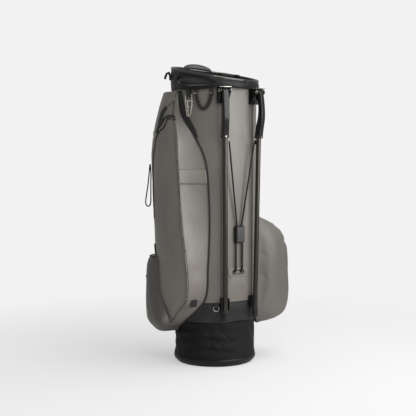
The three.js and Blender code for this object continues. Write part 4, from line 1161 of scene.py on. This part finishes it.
def zip_on(name, tree, points):
    """A zip laid along a line on a surface: woven tape and two rows of metal teeth."""
    tape_on(f"{name}_tape", tree, points, 0.0150, 0.0010, webbing, "webbing", 0.0002)
    bm = bmesh.new()
    for count, (spot, side, turn) in enumerate(spots(laid(tree, points, 0.0014), TOOTH_PITCH)):
        shift = side * (TOOTH_SHIFT if count % 2 else -TOOTH_SHIFT)
        bmesh.ops.create_cube(bm, size=1, matrix=Matrix.Translation(spot + shift) @ turn @ TOOTH)
    finished(f"{name}_teeth", bm, "bag", teeth_metal)


def face_line(pairs, x=-0.175, count=10):
    """A smooth line on the outer face from pairs of Y and Z."""
    return smooth_line([Vector((x, y, z)) for y, z in pairs], count)


main_zip = face_line([(-0.010, 0.7350), (0.003, 0.734), (0.013, 0.728), (0.017, 0.719), (0.020, 0.707),
                      (0.027, 0.700),
                      (0.037, 0.696), (0.049, 0.683), (0.061, 0.666), (0.072, 0.620), (0.080, 0.540),
                      (0.082, 0.430)])
zip_on("main_zip", side_tree, main_zip)
hood = [(-0.042, 0.737), (-0.025, 0.7395), (-0.009, 0.7395), (0.013, 0.733), (0.032, 0.720), (0.044, 0.705),
        (0.056, 0.688)]
tape_on("main_zip_hood", side_tree, face_line(hood), 0.0072, 0.0030, webbing, "webbing", 0.0012)
cord_on("upper_arc_welt", side_tree, face_line([(-0.034, 0.790), (-0.018, 0.789), (-0.002, 0.782),
                                                (0.017, 0.771), (0.028, 0.762)]),
        0.0018, leather_dark, "leather", 0.0002)
trim = [(0.027, 0.765), (0.036, 0.756), (0.041, 0.742), (0.045, 0.720), (0.047, 0.700), (0.052, 0.684)]
tape_on("upper_edge_trim", side_tree, face_line(trim), 0.0125, 0.0034, webbing, "webbing", 0.0006)

# Webbing tab sewn under the low seam of the gusset.
tab_low, tab_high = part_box("pocket_tab")
tab_middle = (tab_low + tab_high) / 2
tab_points = [Vector((tab_middle.x, tab_middle.y, tab_high.z - 0.0355 * i / 8)) for i in range(9)]
tab_places = laid(side_tree, tab_points, 0.0016)
strip("seam_tab", [p for p, _ in tab_places], flat_section(0.020, 0.0028), webbing, "webbing", ["pocket_tab"],
      out=[m for _, m in tab_places])

# Towel loop: one length of webbing, folded on itself and sewn at the top.
loop_place = station(-121, 0.070, 0.5912)
teardrop = [(0.0003, 0.0005), (-0.0028, -0.028), (-0.0062, -0.060), (-0.0110, -0.092), (-0.0134, -0.112),
            (-0.0112, -0.1222),
            (-0.0060, -0.1252), (-0.0005, -0.1222), (0.0018, -0.112), (0.0022, -0.092), (0.0022, -0.060),
            (0.0026, -0.028)]
towel_line = smooth_line([loop_place @ Vector((0, y, z)) for y, z in teardrop], 6, closed=True)
strip("towel_strap", towel_line, [(b, a) for a, b in flat_section(0.0090, 0.0036)], webbing, "webbing",
      ["towel_loop"], body="towel_loop", closed=True, out=loop_place.to_3x3() @ Vector((1, 0, 0)))

# --------------------------------------------- low pouch and ball pocket
# Two soft pockets low on the tube. Their padded cloth is blown up slightly by
# a cloth simulation, and seams, zips and piping are then laid on the result.
POUCH_ROWS = (
    (0, (-96, -12), (-98, 40), (-106, 52), (-118, 52), (-128, 40), (-128, -12)),
    (0.12, (-88, -12), (-92, 60), (-108, 72), (-122, 76), (-133, 56), (-132, -12)),
    (0.3, (-92, -12), (-95, 60), (-110, 77), (-122, 81), (-134, 60), (-134, -12)),
    (0.6, (-98, -12), (-102, 62), (-112, 78), (-123, 80), (-135, 56), (-136, -12)),
    (0.88, (-104, -12), (-106, 60), (-114, 76), (-124, 76), (-134, 50), (-136, -12)),
    (1, (-106, -12), (-108, 58), (-115, 68), (-124, 66), (-132, 42), (-134, -12)),
)
BALL_SHARES = (0, 12, 31, 78, 143, 224, 267, 303, 327)
BALL_REACH = ((0.25, 0.4), (0.62, 0.8), (0.88, 1), (1, 1), (0.99, 1), (0.95, 1), (0.82, 0.95), (0.5, 0.8),
              (0.12, 0.4))
BALL_ROWS = tuple(
    (share / 327, (132 - 20 * (1 - spread), -14), (117 - 6 * (1 - spread), 78 * reach), (103, 103 * reach),
     (90, 107 * reach),
     (76, 112 * reach), (64, 98 * reach), (52 + 12 * (1 - spread), 55 * reach), (42 + 20 * (1 - spread), -14))
    for share, (reach, spread) in zip(BALL_SHARES, BALL_REACH))


def swollen(piece, voxel, pressure, cap):
    """Remeshes a closed skin evenly and swells it as stuffed cloth, holding it still by the tube."""
    bpy.context.view_layer.objects.active = piece
    remesh = piece.modifiers.new("even cloth", "REMESH")
    remesh.mode, remesh.voxel_size, remesh.use_smooth_shade = "VOXEL", voxel, True
    graph = bpy.context.evaluated_depsgraph_get()
    mesh = bpy.data.meshes.new_from_object(piece.evaluated_get(graph))
    piece.modifiers.clear()
    piece.data = mesh
    start = np.array([v.co for v in mesh.vertices], float)
    cloth = piece.modifiers.new("cloth", "CLOTH")
    cloth.settings.use_pressure = True
    cloth.settings.uniform_pressure_force = pressure
    cloth.settings.effector_weights.gravity = 0
    cloth.point_cache.frame_start, cloth.point_cache.frame_end = 1, 20
    for step in range(1, 21):
        scene.frame_set(step)
    graph = bpy.context.evaluated_depsgraph_get()
    blown = np.array([v.co for v in piece.evaluated_get(graph).data.vertices], float)
    piece.modifiers.clear()
    scene.frame_set(1)
    move = blown - start
    far = np.linalg.norm(move, axis=1, keepdims=True)
    clear = np.clip((np.hypot(start[:, 0], start[:, 1]) - TUBE_R - 0.002) / 0.018, 0, 1)[:, None]
    end = start + move * np.minimum(1, cap / np.maximum(far, 1e-9)) * clear
    mesh.vertices.foreach_set("co", end.astype(np.float32).ravel())
    mesh.update()
    mesh.shade_smooth()


def furrow(piece, line, width, depth):
    """Presses a soft crease into a piece along a line, or raises it where depth is negative."""
    mesh = piece.data
    co = np.array([v.co for v in mesh.vertices], float)
    normals = np.array([v.normal for v in mesh.vertices], float)
    path = np.array(line, float)
    near = np.full(len(co), 1e9)
    for a, b in zip(path, path[1:]):
        span = b - a
        t = np.clip(((co - a) @ span) / (span @ span), 0, 1)[:, None]
        near = np.minimum(near, np.linalg.norm(co - (a + t * span), axis=1))
    co -= normals * (depth * np.exp(-(near / width) ** 2))[:, None]
    mesh.vertices.foreach_set("co", co.astype(np.float32).ravel())
    mesh.update()


def softened(piece):
    """One smooth subdivision over a skin."""
    sub = piece.modifiers.new("smooth", "SUBSURF")
    sub.levels = sub.render_levels = 1


pouch = Pocket(0.098, 0.222, POUCH_ROWS, ((0, 5, 0.0),))
pouch_piece = finished("low_pouch", pouch.shell((48,), 40), "bag", leather_dark,
                       ["lower_pouch"])
swollen(pouch_piece, 0.005, 3.0, 0.004)
softened(pouch_piece)
pouch_tree = tree_of(pouch_piece)

ball = Pocket(0.108, 0.327, BALL_ROWS, ((0, 7, 0.0),))
# The ball pocket is cut from the duller leather whose darker tone is painted shade.
ball_piece = finished("ball_pouch", ball.shell((64,), 48), "bag", leather_matt_painted_shade, ["ball_pocket"])
swollen(ball_piece, 0.0055, 3.5, 0.006)
dart = smooth_line([around(52, 0.055, 0.395), around(60, 0.088, 0.375), around(70, 0.104, 0.352),
                    around(80, 0.104, 0.345),
                    around(88, 0.100, 0.352)], 8)
furrow(ball_piece, dart, 0.007, 0.005)
furrow(ball_piece, smooth_line([around(60, 0.093, 0.408), around(72, 0.09, 0.392), around(84, 0.085, 0.388)],
                               8), 0.012, -0.003)
furrow(ball_piece, smooth_line([around(56, 0.08, 0.14), around(58, 0.085, 0.24), around(57, 0.08, 0.35)], 8),
       0.016, 0.0025)
softened(ball_piece)
ball_tree = tree_of(ball_piece)

cord_on("ball_seam_welt", ball_tree, seam(ball, 0, 0.36, 0.06, 0.94), 0.0013, leather_matt_painted_shade, "leather")
ball_rows = [laid(ball_tree, seam(ball, 0, t, 0.08, 0.92), 0.0002) for t in (0.335, 0.385)]
stitches("ball_seam_stitching", ball_rows, dark_thread)
ball_zip = smooth_line([ball.at(0, t, s) for t, s in ((0.13, 0.14), (0.14, 0.30), (0.15, 0.48), (0.17, 0.62),
                                                      (0.22, 0.76), (0.33, 0.87),
                                                     (0.47, 0.915), (0.60, 0.90))], 8)
zip_on("ball_zip", ball_tree, ball_zip)

pouch_line = face_line([(0.053, 0.312), (0.047, 0.262), (0.024, 0.200), (-0.004, 0.153), (-0.020, 0.118)])
tape_on("pouch_edge", side_tree, pouch_line, 0.006, 0.002, leather_dark, "leather_dark", 0.0004)
cord_on("pouch_piping", pouch_tree, seam(pouch, 0, 0.20, 0.06, 0.94, 40), 0.0015, leather_dark,
        "leather_dark")
stitches("pouch_stitching", [laid(pouch_tree, seam(pouch, 0, 0.235, 0.08, 0.92, 40), 0.0002)], dark_thread)
cord_on("pouch_top_piping", pouch_tree, [pouch.at(0, 0.2 + 0.6 * i / 30, 0.985) for i in range(31)], 0.0022,
        webbing, "webbing")
flap_line = [side_pocket.at(1, 0.985 - 0.15 * (i / 20) ** 2, 0.345 - 0.055 * i / 20) for i in range(21)]
tape_on("pouch_flap_trim", side_tree, flap_line, 0.012, 0.003, webbing, "webbing")


def set_on(spot, normal):
    """A place at a spot whose Z faces along the normal."""
    return Matrix.Translation(spot) @ normal.to_track_quat("Z", "Y").to_matrix().to_4x4()


snap = bmesh.new()
disc(snap, 0.0055, -0.001, 0.0035, set_on(*laid(pouch_tree, [pouch.at(0, 0.62, 0.70)], 0.0)[0]))
finished("pouch_snap", snap, "bag", black_nylon)
badge_spot, badge_normal = laid(pouch_tree, [pouch.at(0, 0.46, 0.24)], 0.0)[0]
badge_place = set_on(badge_spot, badge_normal)
badge = bmesh.new()
turns = [2 * math.pi * i / 24 for i in range(24)]
badge_line = [badge_place @ Vector((0.0062 * math.cos(t), 0.0082 * math.sin(t), 0.0008)) for t in turns]
swept(badge, badge_line, [(x, y * 0.8) for x, y in round_section(0.0012, 8)], closed=True, out=badge_normal)
disc(badge, 0.0026, -0.0005, 0.0016, badge_place)
finished("pouch_badge", badge, "bag", nickel)

# ------------------------------------------------- back: pad and straps
# A ribbed pad rests on the hips, and two padded straps arch over the back
# from under the collar. A bent webbing hook keeps them tidy at the rim.
PAD_ROWS = tuple(
    (share, (157, -12), (160, 14 * proud), (171, 22 * proud), (180, 24 * proud), (189, 22 * proud),
     (200, 14 * proud), (203, -12))
    for share, proud in ((0, 0.3), (0.1, 0.85), (0.5, 1), (0.9, 0.85), (1, 0.3)))
hip = Pocket(0.2299, 0.200, PAD_ROWS, ((0, 6, 0.0),))
hip_piece = finished("hip_rest", hip.shell((36,), 40), "bag", leather_dark, ["hip_pad"])
swollen(hip_piece, 0.0045, 3.0, 0.004)
for share in (0.2, 0.35, 0.5, 0.65, 0.8):
    furrow(hip_piece, [hip.at(0, 0.16 + 0.68 * i / 16, share) for i in range(17)], 0.0038, 0.0034)
softened(hip_piece)
hip_tree = tree_of(hip_piece)
HIP_TURNS = ((0.14, 0.06), (0.86, 0.06), (0.86, 0.94), (0.14, 0.94))  # shares across and up the pad
ring_path = [hip.at(0, *HIP_TURNS[0])]
for (t0, up0), (t1, up1) in zip(HIP_TURNS, HIP_TURNS[1:] + HIP_TURNS[:1]):
    ring_path += [hip.at(0, t0 + (t1 - t0) * i / 20, up0 + (up1 - up0) * i / 20) for i in range(1, 21)]
stitches("hip_stitching", [laid(hip_tree, ring_path, 0.0002)], dark_thread)

STRAP_PATH = ((-0.008, -0.008), (-0.030, -0.045), (-0.042, -0.110), (-0.040, -0.190), (-0.026, -0.262),
              (-0.009, -0.305))
for name, degrees in (("left", -161), ("right", 161)):
    place = station(degrees, 0, COLLAR_LOW)
    line = smooth_line([place @ Vector((0, y, z)) for y, z in STRAP_PATH], 10)
    outward = place.to_3x3() @ front
    strap_piece = strip(
        f"strap_{name}", line, pillow_section(0.024, 0.0046, 0.45, 0.7, 32), leather_dark, "leather_dark",
        [f"shoulder_strap_{name}"], crease=60, out=outward,
        slim=lambda t: (0.70 + 0.30 * min(1, math.sin(math.pi * t) * 1.8),
                        0.35 + 0.65 * min(1, math.sin(math.pi * t) * 2.4)))
    softened(strap_piece)
    strap_tree = tree_of(strap_piece)
    side_way = place.to_3x3() @ Vector((1, 0, 0))
    rows = [laid(strap_tree, [p + outward * 0.006 + side_way * x for p in line[5:-5]], 0.0002)
            for x in (-0.0165, 0.0165)]
    stitches(f"strap_stitching_{name}", rows, pale_thread)
    strip(f"strap_web_{name}", [p + outward * 0.0055 for p in line[4:-3]], flat_section(0.018, 0.0016),
          webbing,
          "webbing", out=outward)
    buckle = bmesh.new()
    turn = Matrix((side_way, outward, side_way.cross(outward))).transposed().to_4x4()
    buckle_place = Matrix.Translation(line[-12]) @ turn
    for z in (-0.011, 0, 0.011):
        bar(buckle, (-0.0135, 0.0056, z - 0.0018), (0.0135, 0.0092, z + 0.0018), buckle_place, 0.001)
    for x in (-0.0125, 0.0125):
        bar(buckle, (x - 0.0018, 0.0056, -0.0128), (x + 0.0018, 0.0092, 0.0128), buckle_place, 0.001)
    finished(f"strap_buckle_{name}", buckle, "bag", black_nylon)

hook_place = station(-121, 0.0068, COLLAR_LOW)
strap_at("rim_hook", hook_place, [(-0.0015, 0.031), (-0.0022, 0.043), (-0.0060, 0.0530), (-0.0125, 0.0500),
                                  (-0.0165, 0.0400),
                                  (-0.0178, 0.0345)], 0.018, 0.0070, replaces=["strap_hook"])
